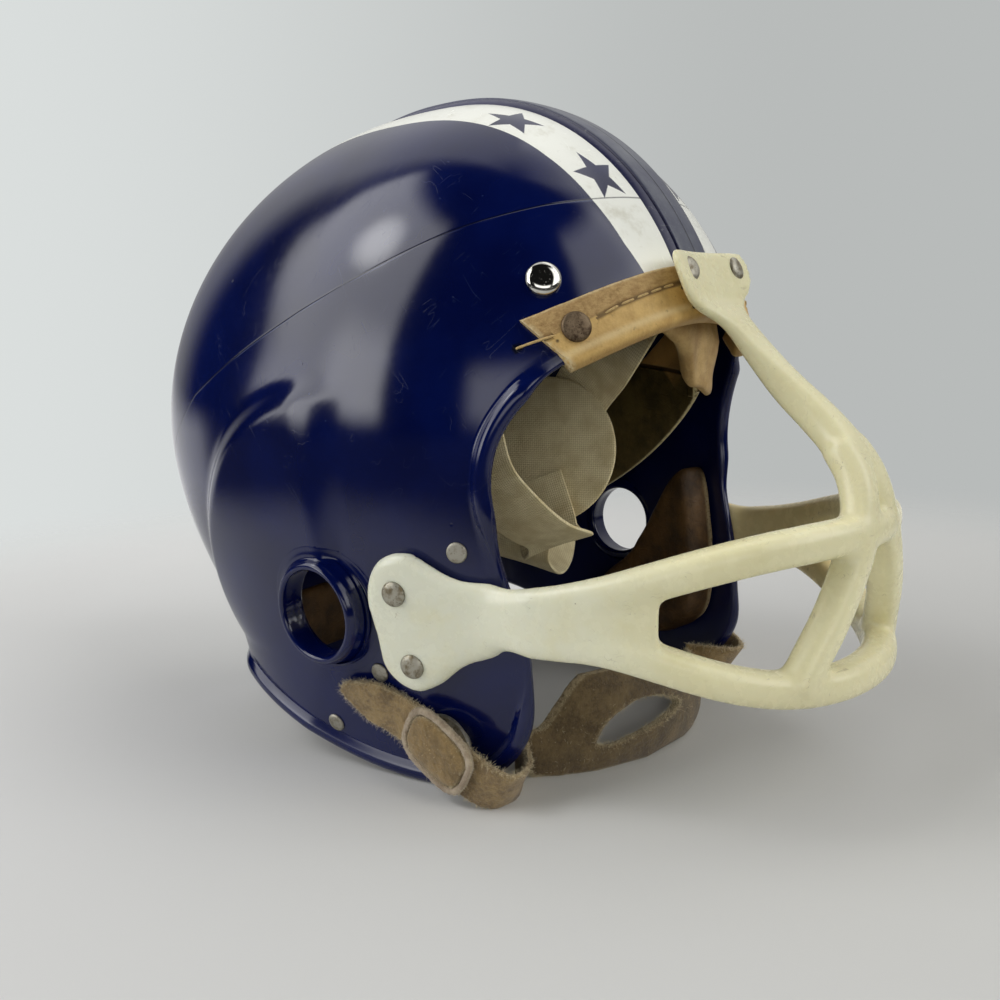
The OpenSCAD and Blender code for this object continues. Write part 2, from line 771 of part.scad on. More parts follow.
module brow_pad() color([0.74, 0.66, 0.5]) {
    steps = 20;
    half = 40;
    hang = 6;
    depth = wall + nut_h + 1.2 + soft_gap + brow_pad_t / 2;
    skin([
        for (i = [0 : steps])
        let (
            x = mixed(-half, half, i / steps),
            swell_in = sqrt(1 - pow(0.93 * (2 * i / steps - 1), 8))
        )
        [for (s = rounded(brow_pad_t / 2 * mixed(0.6, 1, swell_in), brow_pad_h / 2, 12, 2.6))
            brow_skin(x, 0, 0) + (brow_pad_h / 2 - hang + s[1]) * brow_up(x)
            - (depth + s[0]) * out(brow_skin(x, 0, 0))]
    ]);
}

// Plan of the headband, by angle from the front, and its lower edge by y
function headband_at(a) =
    let (
        s = sin(a), c = cos(a),
        f = pow(pow(abs(s), 3) + pow(abs(c), 3), -1 / 3),
        y = headband_y - (c > 0 ? headband_front : headband_rear) * c * f
    )
    [headband_half_w * s * f, y,
     headband_low_z + headband_climb * pow(clamp((20 - y) / 95, 0, 1), 1.5) + headband_w / 2];
module headband() color([0.3, 0.24, 0.16]) {
    steps = 36;
    path = [for (i = [0 : steps]) headband_at(mixed(31, 329, i / steps))];
    tape(path, [for (p = path) [0, 0, 1]], headband_w, headband_t);
}
module crown_disc() color([0.8, 0.76, 0.64]) {
    aim(disc_at, disc_facing) translate([0, 0, -canvas_t / 2])
        cylinder(d = disc_d, h = canvas_t);
}
// Strap of the cradle: it lies on the back (-1) or the front (1) of the disc from
// one spot to another, both across and up from the middle, then runs onward
function on_disc(spot, face) =
    disc_at + spot[0] * disc_right + spot[1] * disc_up + face * (canvas_t + 0.1) * disc_facing;
module cradle_strap(from, to, face, onward, last_broad) {
    path = eased_path(concat(
        [on_disc(from, face), on_disc((from + to) / 2, face), on_disc(to, face),
            on_disc(1.22 * to, face)], onward));
    flat = unit(cross(disc_facing, on_disc(to, face) - on_disc(from, face)));
    n = len(path) - 1;
    tape(path, [for (i = [0 : n]) mixed(flat, last_broad, ease((i / n - 0.45) / 0.5))],
        cradle_strap_w, canvas_t);
}
snap_anchor = off_shell(on_shell(crown_snap), -wall - 1.2 - canvas_t / 2);
module cradle_strap_front() color([0.75, 0.7, 0.58])
    cradle_strap([2, 4], [-6, 30], -1, [[6, -44, 150], [20, -54, 171], [36, -66, 180], snap_anchor],
        [0.81, 0.59, 0]);
module cradle_strap_side() color([0.75, 0.7, 0.58])
    cradle_strap([-4, -12], [3, -30], 1, [[-20, -64, 77], [-42, -64, 86], [-56, -54, 104],
        [-58, -51, 120]], [0.3, -0.95, 0]);
module cradle_strap_rear() color([0.75, 0.7, 0.58])
    cradle_strap([-4, -6], [-8, -31], -1, [[-8, -31, 66], [4, -29, 58], [24, -22, 62],
        [46, -12, 80], [63, 0, 88], [63.1, 12, 88]], [0, -0.2, -1]);
jaw_pad_at = -wall - 3 * soft_gap;
module jaw_pad() {
    difference() {
        side_patch(jaw_outline, jaw_middle, jaw_pad_at, jaw_pad_at - jaw_pad_t, 1.6, 2);
        side_screw_cuts();
    }
}
module jaw_pad_left() color([0.4, 0.28, 0.17]) jaw_pad();
module jaw_pad_right() color([0.4, 0.28, 0.17]) mirror([1, 0, 0]) jaw_pad();
module nape_pad() color([0.42, 0.28, 0.16]) {
    steps = 14;
    skin([
        for (i = [0 : steps])
        let (p = rear_point(mixed(-44, 44, i / steps), 24), o = out(p))
        laid(p - (wall + 2 * soft_gap + 4) * o, o, [0, 0, 1], rounded(4, 15, 10, 3))
    ]);
}

// Jaw snap: a disc and a turned post riveted to the cheek
module jaw_snap() at_jaw_snap() {
    translate([0, 0, snap_x - 1]) cylinder(d = 14, h = snap_face - snap_x - 0.4);
    translate([0, 0, snap_face - 1.4]) cylinder(d = snap_disc_d, h = 1.2);
    translate([0, 0, snap_x - wall + 0.4]) cylinder(d = 4, h = wall);
    translate([0, 0, snap_face - 0.5]) cylinder(d = post_d, h = strap_out + 1.7 - snap_face);
}
module jaw_snap_left() color([0.62, 0.6, 0.52]) jaw_snap();
module jaw_snap_right() color([0.62, 0.6, 0.52]) mirror([1, 0, 0]) jaw_snap();
strap_mid = snap_face + strap_t / 2 + 0.2;
strap_out = strap_mid + strap_t / 2 + 0.1;
cup_end_z = strap_w / 2 - lift + 0.3;
// Upright oblong on the strap's face, tilted along the strap
module oblong(l, h) {
    r = h / 2 - 1.5;
    offset(r = r) square([l - 2 * r, h - 2 * r], center = true);
}
module on_strap(thick) {
    translate([strap_out, snap_y, snap_z]) rotate([0, 90, 0]) rotate(90 + strap_tilt)
        linear_extrude(thick) children();
}
// Leather covered cap that fills the keeper, with a sleeve that turns on the post
module snap_cap() {
    difference() {
        union() {
            at_jaw_snap() translate([0, 0, snap_face])
                cylinder(r = post_d / 2 + 1.4, h = strap_out - snap_face + 0.5);
            on_strap(cap_t) oblong(keeper_l - 2 * keeper_rim - 1, keeper_h - 2 * keeper_rim - 1);
        }
        at_jaw_snap() translate([0, 0, snap_face - 1])
            cylinder(d = post_d + 2 * post_play, h = strap_out - snap_face + 2.5);
    }
}
module snap_cap_left() color([0.6, 0.57, 0.48]) snap_cap();
module snap_cap_right() color([0.6, 0.57, 0.48]) mirror([1, 0, 0]) snap_cap();
module keeper() {
    on_strap(keeper_t) difference() {
        oblong(keeper_l, keeper_h);
        oblong(keeper_l - 2 * keeper_rim, keeper_h - 2 * keeper_rim);
    }
}
module strap_keeper_left() color([0.55, 0.52, 0.45]) keeper();
module strap_keeper_right() color([0.55, 0.52, 0.45]) mirror([1, 0, 0]) keeper();

// Chin strap on the left: tongue, snap, the turn under the jaw and the cup's end
module chin_strap() {
    path = eased_path([
        [side_x(-19, 34) + 3.4, -19, 34], [side_x(-32, 29) + 2.8, -31, 29.4],
        [strap_mid, -40, 25.9], [strap_mid, -58.5, 18.5], [strap_mid, -72, 11],
        [81.5, -83, 6.8], [73, -85, 6.8], [66, -78, 8], [58.9, cup_y(58.9), cup_end_z]
    ]);
    broad = eased_path([
        [0.2, -0.38, 0.92], [0.15, -0.38, 0.92], [0, -0.38, 0.92], [0, -0.38, 0.92],
        [0, -0.5, 0.86], [0, -0.7, 0.7], [0, -0.65, 0.76], [0, -0.25, 0.97], [0, 0, 1]
    ]);
    difference() {
        tape(path, broad, strap_w, strap_t);
        at_jaw_snap() translate([0, 0, snap_face - 3])
            cylinder(d = post_d + 4.4, h = strap_t + 6);
    }
}
module chin_strap_left() color([0.45, 0.38, 0.24]) chin_strap();
module chin_strap_right() color([0.45, 0.38, 0.24]) mirror([1, 0, 0]) chin_strap();

// Chin cup: a dished strip that stands on its lower edge and leans back
function cup_y(x) = -95 + 0.0075 * x * x;
module chin_cup() color([0.45, 0.38, 0.24]) {
    steps = 24;
    half = 57;
    difference() {
        skin([
            for (i = [0 : steps])
            let (
                u = mixed(half, -half, i / steps),
                x = u - cup_shift * (1 - pow(u / half, 2)),
                h = mixed(cup_h, strap_w, ease((abs(u) - 24) / 32)) / 2,
                side = unit([0.015 * x * 0.6, -1, 0]),
                lean = 0.16 * ease((half - abs(u)) / 20)
            )
            [for (s = rounded(cup_t / 2, h, 12, 5))
                let (v = s[1] / h)
                [x, cup_y(x), h - lift + 0.3]
                + (s[0] + 3.4 * (1 - v * v) * ease((half - abs(u)) / 16)) * [-side[0], side[1], 0]
                + s[1] * [0, lean, 1]]
        ]);
        translate([-cup_shift, -60, cup_h * 0.47 - lift]) rotate([90, 0, 0]) linear_extrude(60) hull() {
            for (k = [-1, 1])
                translate([k * (cup_slot_l - cup_slot_h) / 2, 0]) circle(d = cup_slot_h, $fn = 24);
        }
    }
}

stand_on_floor() shell();
stand_on_floor() crown_ridge();
stand_on_floor() face_guard();
stand_on_floor() guard_top_screws();
stand_on_floor() guard_side_screws();
stand_on_floor() guard_nuts();
stand_on_floor() brow_band();
stand_on_floor() brow_rivets();
stand_on_floor() crown_snaps();
stand_on_floor() liner_rivets();
stand_on_floor() brow_pad();
stand_on_floor() headband();
stand_on_floor() crown_disc();
stand_on_floor() cradle_strap_front();
stand_on_floor() cradle_strap_side();
stand_on_floor() cradle_strap_rear();
stand_on_floor() jaw_pad_right();
stand_on_floor() jaw_pad_left();
stand_on_floor() nape_pad();
stand_on_floor() jaw_snap_right();
stand_on_floor() jaw_snap_left();
stand_on_floor() snap_cap_right();
stand_on_floor() snap_cap_left();
stand_on_floor() strap_keeper_right();
stand_on_floor() strap_keeper_left();
stand_on_floor() chin_strap_right();
stand_on_floor() chin_strap_left();
stand_on_floor() chin_cup();
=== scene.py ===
"""Looks of a child's football helmet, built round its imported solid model.

Shapes are worked out in millimetres in the drawing's own axes: the face looks
along -Y, the wearer's right is -X and the crown stands over the origin. A last
step moves them onto the floor and into metres.
"""

import math

import bpy
import numpy as np
from mathutils import Matrix

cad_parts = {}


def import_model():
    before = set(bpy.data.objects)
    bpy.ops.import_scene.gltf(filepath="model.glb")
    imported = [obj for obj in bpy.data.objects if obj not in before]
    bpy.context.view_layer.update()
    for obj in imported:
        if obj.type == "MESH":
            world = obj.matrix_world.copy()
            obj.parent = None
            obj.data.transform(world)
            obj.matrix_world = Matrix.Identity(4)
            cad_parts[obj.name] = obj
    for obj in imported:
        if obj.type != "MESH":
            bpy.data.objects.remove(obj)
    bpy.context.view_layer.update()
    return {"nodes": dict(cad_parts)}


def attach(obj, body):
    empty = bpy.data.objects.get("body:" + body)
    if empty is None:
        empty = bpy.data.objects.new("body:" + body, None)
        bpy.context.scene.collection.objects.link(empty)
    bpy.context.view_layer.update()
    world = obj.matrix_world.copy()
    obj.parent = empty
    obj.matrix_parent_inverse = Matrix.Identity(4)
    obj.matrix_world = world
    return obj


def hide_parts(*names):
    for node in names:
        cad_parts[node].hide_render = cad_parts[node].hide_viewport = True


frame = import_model()

MM = 0.001
SHIFT = np.array([0.0, 15.15, -0.192])
FLOOR_Z = 0.192
FLIP = np.array([-1.0, 1.0, 1.0])


# ------------------------------------------------------------------ vectors
def ease(v):
    """3 s^2 - 2 s^3 of the value held between 0 and 1."""
    s = np.clip(v, 0, 1)
    return s * s * (3 - 2 * s)


def unit(v):
    """Vectors scaled to length 1."""
    v = np.asarray(v, float)
    return v / np.maximum(np.linalg.norm(v, axis=-1, keepdims=True), 1e-12)


def mixed(a, b, s):
    """The value at a share of the way from one to another."""
    return a + (b - a) * s


def points(x, y, z):
    return np.stack(np.broadcast_arrays(*(np.asarray(v, float) for v in (x, y, z))), -1)


def curve(p, steps, ring=False):
    """Catmull-Rom curve through the points, so many steps to a span."""
    p = np.asarray(p, float)
    n = len(p)
    i = np.arange(n if ring else n - 1)
    a, b, c, d = (p[(i + k) % n if ring else np.clip(i + k, 0, n - 1)][:, None]
                  for k in (-1, 0, 1, 2))
    t = (np.arange(steps) / steps).reshape((1, -1) + (1,) * (p.ndim - 1))
    q = b + t * (c - a) / 2 + t * t * (a - 2.5 * b + 2 * c - d / 2)
    q = (q + t**3 * ((d - a) / 2 + 1.5 * (b - c))).reshape((-1,) + p.shape[1:])
    return q if ring else np.concatenate([q, p[-1:]])


def softened(p, turns=2):
    """The path with its corners cut back to a quarter and three quarters of each span."""
    p = np.asarray(p, float)
    for _ in range(turns):
        q = np.stack([mixed(p[:-1], p[1:], 0.25), mixed(p[:-1], p[1:], 0.75)], 1)
        p = np.vstack([p[:1], q.reshape(-1, p.shape[1])[1:-1], p[-1:]])
    return p


def lengths(p):
    """Length along the path up to each point."""
    return np.concatenate([[0], np.cumsum(np.linalg.norm(np.diff(p, axis=0), axis=1))])


def spaced(p, count, also=None):
    """The path again with points an even length apart, and another list set beside it."""
    s = lengths(p)
    t = np.linspace(0, s[-1], count)
    pick = [np.stack([np.interp(t, s, q[:, k]) for k in range(q.shape[1])], 1)
            for q in ([p] if also is None else [p, also])]
    return pick[0] if also is None else pick


def calmed(p, turns):
    """The path after turns of moving each inner point to the mean of itself, which
    counts twice, and its neighbours."""
    p = p.copy()
    for _ in range(turns):
        p[1:-1] = (p[:-2] + 2 * p[1:-1] + p[2:]) / 4
    return p


def angles(n, start=0.0):
    """So many angles once round."""
    return 2 * np.pi * (np.arange(n) + start) / n


def circle(a, b, n):
    """Steps of length 1 round the circle that two square directions span."""
    t = angles(n)
    return np.cos(t)[:, None] * a + np.sin(t)[:, None] * b


def powered(v, k):
    """|v|^k with the sign of v."""
    return np.sign(v) * np.abs(v) ** k


def rounded(w, h, n, power=2.6):
    """Rounded oblong |x/w|^k + |y/h|^k = 1, walked round by angle."""
    a = angles(n, 0.5)
    return np.stack([w * powered(np.cos(a), 2 / power), h * powered(np.sin(a), 2 / power)], -1)


def ripple(p, size, seed, waves=14):
    """Smooth noise between about -1 and 1: the mean of sine waves of random
    direction whose length is about size."""
    rng = np.random.default_rng(seed)
    k = unit(rng.normal(size=(waves, 3))) * 2 * np.pi / size * rng.uniform(0.6, 1.5, (waves, 1))
    return np.sin(np.asarray(p) @ k.T + rng.uniform(0, 6.28, waves)).mean(-1) * 2.4


# ------------------------------------------------------------------ the shell's face
HALF_W, FRONT, REAR, TOP, WIDEST = 97.2, 116.0, 142.0, 241.3, 117.0
FRONT_POWER, REAR_POWER = 2.33, 2.38
NAPE = (WIDEST - 38) / WIDEST
WALL, BEAD = 3.0, 2.6
CORE = np.array([0.0, 0.0, 110.0])
POLE = unit([0, 0.46, 0.89])
BROW_Z, BROW_SAG, BAND_W = 160.0, 0.004, 15.5
EAR_Y, EAR_Z, EAR_R = -14.5, 61.5, 15.5
EAR_WAY = unit([1, -0.03, -0.05])
CHEEK = [[-93, 143.5], [-84.5, 135.5], [-77.5, 122], [-75, 107], [-77, 92], [-80.5, 76],
         [-85, 60], [-86.5, 42], [-83, 25], [-74.5, 13.5], [-62, 5.5]]
# Rolled and plain sections of the edge: distance in from it, and height over the
# outer face, in shares of the bead and of the wall
BEADED = curve([[0.2, -1, 0], [-0.62, -0.87, 0], [-1.08, -0.27, 0], [-1, 0, 0.46],
                [-0.31, 0, 1], [0.62, 0, 0.92], [1.23, 0, 0.35], [1.5, 0, 0]], 4)
PLAIN = curve([[0.5, -1, 0], [0.2, -0.93, 0], [0, -0.75, 0], [0, -0.5, 0],
               [0, -0.25, 0], [0.2, -0.07, 0], [0.5, 0, 0], [1.5, 0, 0]], 4)


def drawn(z, power, draw, most):
    """Share of a half size at a level: (1 - up^k)^(1/k) over the widest level,
    times 1 - draw * low^2 under it."""
    up = np.clip((z - WIDEST) / (TOP - WIDEST), 0, 1)
    low = np.clip((WIDEST - z) / WIDEST, 0, most)
    return np.maximum(1 - up**power, 0) ** (1 / power) * (1 - draw * low**2)


def half_width(z):
    """Half the shell's width at a level, before the bosses round the ears."""
    return HALF_W * drawn(z, 1.86, 0.18, 1.2)


def ahead(z):
    """How far the shell reaches forward of its middle at a level."""
    return FRONT * drawn(z, 2.16, -0.30, 1.2)


def behind(z):
    """How far it reaches back."""
    return REAR * drawn(z, 1.96, 0.78, NAPE)


def swell(y, z):
    """Boss round the ear: full inside a circle, sharp at its edge behind the ear
    and over it, and faded out below and in front."""
    r = np.hypot(y + 20, z - 60)
    turn = np.degrees(np.arctan2(z - 60, y + 20))
    side = np.where(turn > 0, ease((100 - turn) / 22), np.clip((120 + turn) / 60, 0, 1))
    return 4 * ease((84 - r) / 11) * side


def level(p):
    """Under 1 inside the outer face: |x / a|^k + |y / b|^k, where a and b are the
    half width and the reach of the section at that level."""
    x, y, z = np.moveaxis(p, -1, 0)
    a = np.maximum(half_width(z) + swell(y, z), 1e-3)
    b = np.maximum(np.where(y < 0, ahead(z), behind(z)), 1e-3)
    k = np.where(y < 0, FRONT_POWER, REAR_POWER)
    return np.where(z > TOP, 2 + z - TOP, (np.abs(x) / a) ** k + (np.abs(y) / b) ** k)


def along(way):
    """Where a ray from the core crosses the outer face, by halving."""
    way = unit(way)
    lo = np.full(way.shape[:-1], 20.0)
    hi = np.full(way.shape[:-1], 320.0)
    for _ in range(24):
        m = (lo + hi) / 2
        inside = level(CORE + m[..., None] * way) < 1
        lo, hi = np.where(inside, m, lo), np.where(inside, hi, m)
    return CORE + lo[..., None] * way


def on_shell(p):
    return along(np.asarray(p, float) - CORE)


def out(p):
    """Outward direction of the face: the slope of level."""
    p = np.asarray(p, float)
    return unit(np.stack([level(p + d) - level(p - d) for d in 0.05 * np.eye(3)], -1))


def narrowing(v, k):
    """Share left of a half size where the other axis has used v: (1 - |v|^k)^(1/k)."""
    return np.maximum(1 - np.abs(v) ** k, 0) ** (1 / k)


def side_x(y, z):
    """The left side of the face by place along it and level."""
    b = np.where(np.asarray(y) < 0, ahead(z), behind(z))
    k = np.where(np.asarray(y) < 0, FRONT_POWER, REAR_POWER)
    return (half_width(z) + swell(y, z)) * narrowing(y / b, k)


def side_point(y, z):
    return points(side_x(y, z), y, z)


def front_point(x, z):
    return points(x, -ahead(z) * narrowing(x / half_width(z), FRONT_POWER), z)


def rear_point(x, z):
    return points(x, behind(z) * narrowing(x / half_width(z), REAR_POWER), z)


def brow_z(x):
    """Level of the brow's edge, which sags as x^2 to both sides."""
    return BROW_Z - BROW_SAG * x * x


def rim_z(y):
    """Level of the lower edge: a half cosine climb of 35 mm from the jaw to behind the
    ear, which eases down again round the nape."""
    climb = (1 - np.cos(np.pi * np.clip((y + 44) / 150, 0, 1))) / 2
    return 3 + 35 * climb * (1 - ease((y - 50) / 44))


def rim_behind(a):
    """Lower edge round the back, by angle from straight behind."""
    s, c = np.sin(np.radians(a)), np.cos(np.radians(a))
    f = (s**REAR_POWER + np.maximum(c, 0) ** REAR_POWER) ** (-1 / REAR_POWER)
    z = np.full_like(f, 10.0)
    for _ in range(5):
        y = behind(z) * c * f
        x = (half_width(z) + swell(y, z)) * s * f
        z = rim_z(y)
    return points(x, y, z)


def brow_up(x):
    """Direction along the face, up and square from the brow's edge."""
    e, f, g = (front_point(v, brow_z(v)) for v in (x, x + 0.5, x - 0.5))
    return unit(np.cross(out(e), f - g))


def brow_skin(x, up, h):
    """Point near the brow's edge: so far up along the face, then off the face."""
    x, up, h = np.broadcast_arrays(*(np.asarray(v, float) for v in (x, up, h)))
    e = front_point(x, brow_z(x))
    p = e + up[..., None] * brow_up(x)
    high = up > 0
    base = np.where(high[..., None], on_shell(p), p)
    return base + h[..., None] * np.where(high[..., None], out(base), out(e))


# ------------------------------------------------------------------ meshes
class Part:
    """Points, faces and named values at the points of one closed form."""

    def __init__(self, p, quads, tris, fields=None):
        self.p = np.asarray(p, float).reshape(-1, 3)
        self.quads = np.asarray(quads, int).reshape(-1, 4)
        self.tris = np.asarray(tris, int).reshape(-1, 3)
        self.fields = {k: np.asarray(v, float).reshape(-1) for k, v in (fields or {}).items()}
        q = self.quads
        t = np.vstack([q[:, [0, 1, 2]], q[:, [0, 2, 3]], self.tris])
        a, b, c = (self.p[t[:, k]] - self.p.mean(0) for k in range(3))
        if np.einsum("ij,ij->i", a, np.cross(b, c)).sum() < 0:
            self.quads, self.tris = self.quads[:, ::-1], self.tris[:, ::-1]

    def mirrored(self):
        return Part(self.p * FLIP, self.quads, self.tris, self.fields)


def grid_faces(m, n, looped):
    j, i = np.meshgrid(np.arange(m if looped else m - 1), np.arange(n), indexing="ij")
    a, b = (j * n).ravel(), (((j + 1) % m) * n).ravel()
    i = i.ravel()
    k = (i + 1) % n
    return np.stack([a + i, a + k, b + k, b + i], 1)


def skin(rings, fields=None, looped=False):
    """Closed form over rings of points, with a fan over each open end."""
    rings = np.asarray(rings, float)
    m, n = rings.shape[:2]
    p = rings.reshape(-1, 3)
    fields = {k: np.broadcast_to(v, (m, n)).ravel() for k, v in (fields or {}).items()}
    if looped:
        return Part(p, grid_faces(m, n, True), [], fields)
    p = np.vstack([p, rings[0].mean(0), rings[-1].mean(0)])
    i = np.arange(n)
    k = (i + 1) % n
    ends = np.vstack([np.stack([k, i, np.full(n, m * n)], 1),
                      np.stack([(m - 1) * n + i, (m - 1) * n + k, np.full(n, m * n + 1)], 1)])
    fields = {q: np.concatenate([v, [v[:n].mean(), v[-n:].mean()]]) for q, v in fields.items()}
    return Part(p, grid_faces(m, n, False), ends, fields)


def sweep(path, broad, section, fields=None, looped=False):
    """Carries a section along a path. Its first axis is turned towards the vectors
    in broad, and its second stands square to them and to the path."""
    path = np.asarray(path, float)
    fore = unit(np.gradient(path, axis=0))
    up = unit(np.cross(fore, np.broadcast_to(broad, path.shape)))
    side = np.cross(up, fore)
    section = np.broadcast_to(section, (len(path),) + np.shape(section)[-2:])
    rings = path[:, None] + section[..., :1] * side[:, None] + section[..., 1:] * up[:, None]
    own = {"across": section[..., 0], "along": lengths(path)[:, None], "face": section[..., 1]}
    return skin(rings, {**own, **(fields or {})}, looped)


def frame_of(way):
    """Two directions square to a way and to each other."""
    way = unit(way)
    a = unit(np.cross(way, np.where(np.abs(way[..., 2:]) < 0.9, [0, 0, 1.0], [1.0, 0, 0])))
    return a, np.cross(way, a)


HEAD_SIDES = 48


def turned(profile, at, way, sides=HEAD_SIDES):
    """A profile of radius and height turned about a way through a point."""
    profile = np.asarray(profile, float)
    rings = at + profile[:, :1, None] * circle(*frame_of(way), sides) \
        + profile[:, 1:, None] * unit(way)
    return skin(rings, {"across": profile[:, :1], "face": profile[:, 1:]})


def both(parts):
    return parts + [q.mirrored() for q in parts]


def set_field(mesh, key, value):
    """A value at each point, for the finish."""
    layer = mesh.attributes.get(key) or mesh.attributes.new(key, "FLOAT", "POINT")
    layer.data.foreach_set("value", np.asarray(value, np.float32))


def dress(mesh, material):
    """One material and smooth shading on a whole mesh."""
    mesh.materials.clear()
    mesh.materials.append(material)
    mesh.polygons.foreach_set("use_smooth", np.ones(len(mesh.polygons), bool))


def solid(name, parts, material, body, replaces=(), sharp=0):
    """One object made of closed forms, moved onto the floor and into metres. Faces
    that meet at more than sharp degrees keep a hard edge between them."""
    parts = parts if isinstance(parts, list) else [parts]
    p = (np.vstack([q.p for q in parts]) + SHIFT) * MM
    start = np.cumsum([0] + [len(q.p) for q in parts[:-1]])
    quads = np.vstack([q.quads + s for q, s in zip(parts, start)])
    tris = np.vstack([q.tris + s for q, s in zip(parts, start)])
    mesh = bpy.data.meshes.new(name)
    mesh.from_pydata(p.tolist(), [], quads.tolist() + tris.tolist())
    for key in sorted({k for q in parts for k in q.fields}):
        value = np.concatenate([q.fields.get(key, np.zeros(len(q.p))) for q in parts])
        set_field(mesh, key, value)
    dress(mesh, material)
    if sharp:
        mesh.set_sharp_from_angle(angle=math.radians(sharp))
    mesh.validate()
    piece = bpy.data.objects.new(name, mesh)
    bpy.context.collection.objects.link(piece)
    if body:
        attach(piece, body)
        if replaces:
            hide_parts(*replaces)
    return piece


def worked(piece, kind, **settings):
    """The piece with one modifier applied to its mesh."""
    modifier = piece.modifiers.new(kind.lower(), kind)
    for key, value in settings.items():
        setattr(modifier, key, value)
    bpy.context.view_layer.update()
    seen = piece.evaluated_get(bpy.context.evaluated_depsgraph_get())
    done = bpy.data.meshes.new_from_object(seen)
    piece.modifiers.clear()
    old, name = piece.data, piece.data.name
    piece.data = done
    bpy.data.meshes.remove(old)
    done.name = name
    return piece


def drawing_points(mesh):
    """The mesh's points in the drawing's axes and millimetres."""
    p = np.empty(len(mesh.vertices) * 3)
    mesh.vertices.foreach_get("co", p)
    return p.reshape(-1, 3) / MM - SHIFT


# ------------------------------------------------------------------ finishes
def tone(r, g, b, share=1.0):
    """Linear colour of a colour that is written as 0 to 255 on a screen."""
    c = np.array([r, g, b]) / 255
    c = np.where(c <= 0.04045, c / 12.92, ((c + 0.055) / 1.055) ** 2.4)
    return tuple(float(v) for v in c * share) + (1.0,)


def operator(operation, swapped=False):
    """Method that adds a Math node for an operation on signals and numbers."""
    def method(self, *others):
        values = (*others, self) if swapped else (self, *others)
        node = self.graph.add("ShaderNodeMath", {"operation": operation}, dict(enumerate(values)))
        return self.graph.signal(node)
    return method


class Signal:
    """One changing value of a finish. Arithmetic on it adds Math nodes."""

    def __init__(self, graph, socket):
        self.graph, self.socket = graph, socket

    __add__ = __radd__ = operator("ADD")
    __sub__, __rsub__ = operator("SUBTRACT"), operator("SUBTRACT", True)
    __mul__ = __rmul__ = operator("MULTIPLY")
    __truediv__, __rtruediv__ = operator("DIVIDE"), operator("DIVIDE", True)
    __pow__, __abs__, __lt__ = operator("POWER"), operator("ABSOLUTE"), operator("LESS_THAN")
    most, least = operator("MAXIMUM"), operator("MINIMUM")
    sine, cosine, fraction = operator("SINE"), operator("COSINE"), operator("FRACT")
    arcsine, arctan2 = operator("ARCSINE"), operator("ARCTAN2")

    def wave(self, size):
        """Sine of the value, once round in size."""
        return (self * (2 * math.pi / size)).sine()

    def step(self, lo, hi):
        """Smooth rise from 0 at lo to 1 at hi; hi under lo gives a fall."""
        if hi < lo:
            return 1 - self.step(hi, lo)
        node = self.graph.add("ShaderNodeMapRange", {"interpolation_type": "SMOOTHSTEP"},
                              {0: self, 1: lo, 2: hi})
        return self.graph.signal(node)


class Graph:
    """Nodes of a finish or of the world, emptied first."""

    def __init__(self, owner):
        owner.use_nodes = True
        self.tree = owner.node_tree
        self.tree.nodes.clear()

    def add(self, kind, settings=None, values=None):
        node = self.tree.nodes.new(kind)
        for key, value in (settings or {}).items():
            setattr(node, key, value)
        self.feed(node, values or {})
        return node

    def feed(self, node, values):
        """Links or sets a node's sockets, each given by its number or name."""
        for key, value in values.items():
            value = getattr(value, "socket", value)
            if isinstance(value, bpy.types.NodeSocket):
                self.tree.links.new(value, node.inputs[key])
            else:
                node.inputs[key].default_value = value

    def signal(self, node, key=0):
        return Signal(self, node.outputs[key])

    def axes(self, place):
        node = self.add("ShaderNodeSeparateXYZ", {}, {0: place})
        return [Signal(self, s) for s in node.outputs]

    def vectors(self, operation, *values):
        """Node for an operation on vectors."""
        return self.add("ShaderNodeVectorMath", {"operation": operation}, dict(enumerate(values)))

    def blend(self, colour, *layers):
        """The colour under layers, each given by its colour and its share."""
        for other, share in zip(layers[::2], layers[1::2]):
            node = self.add("ShaderNodeMix", {"data_type": "RGBA"}, {0: share, 6: colour, 7: other})
            colour = node.outputs[2]
        return colour


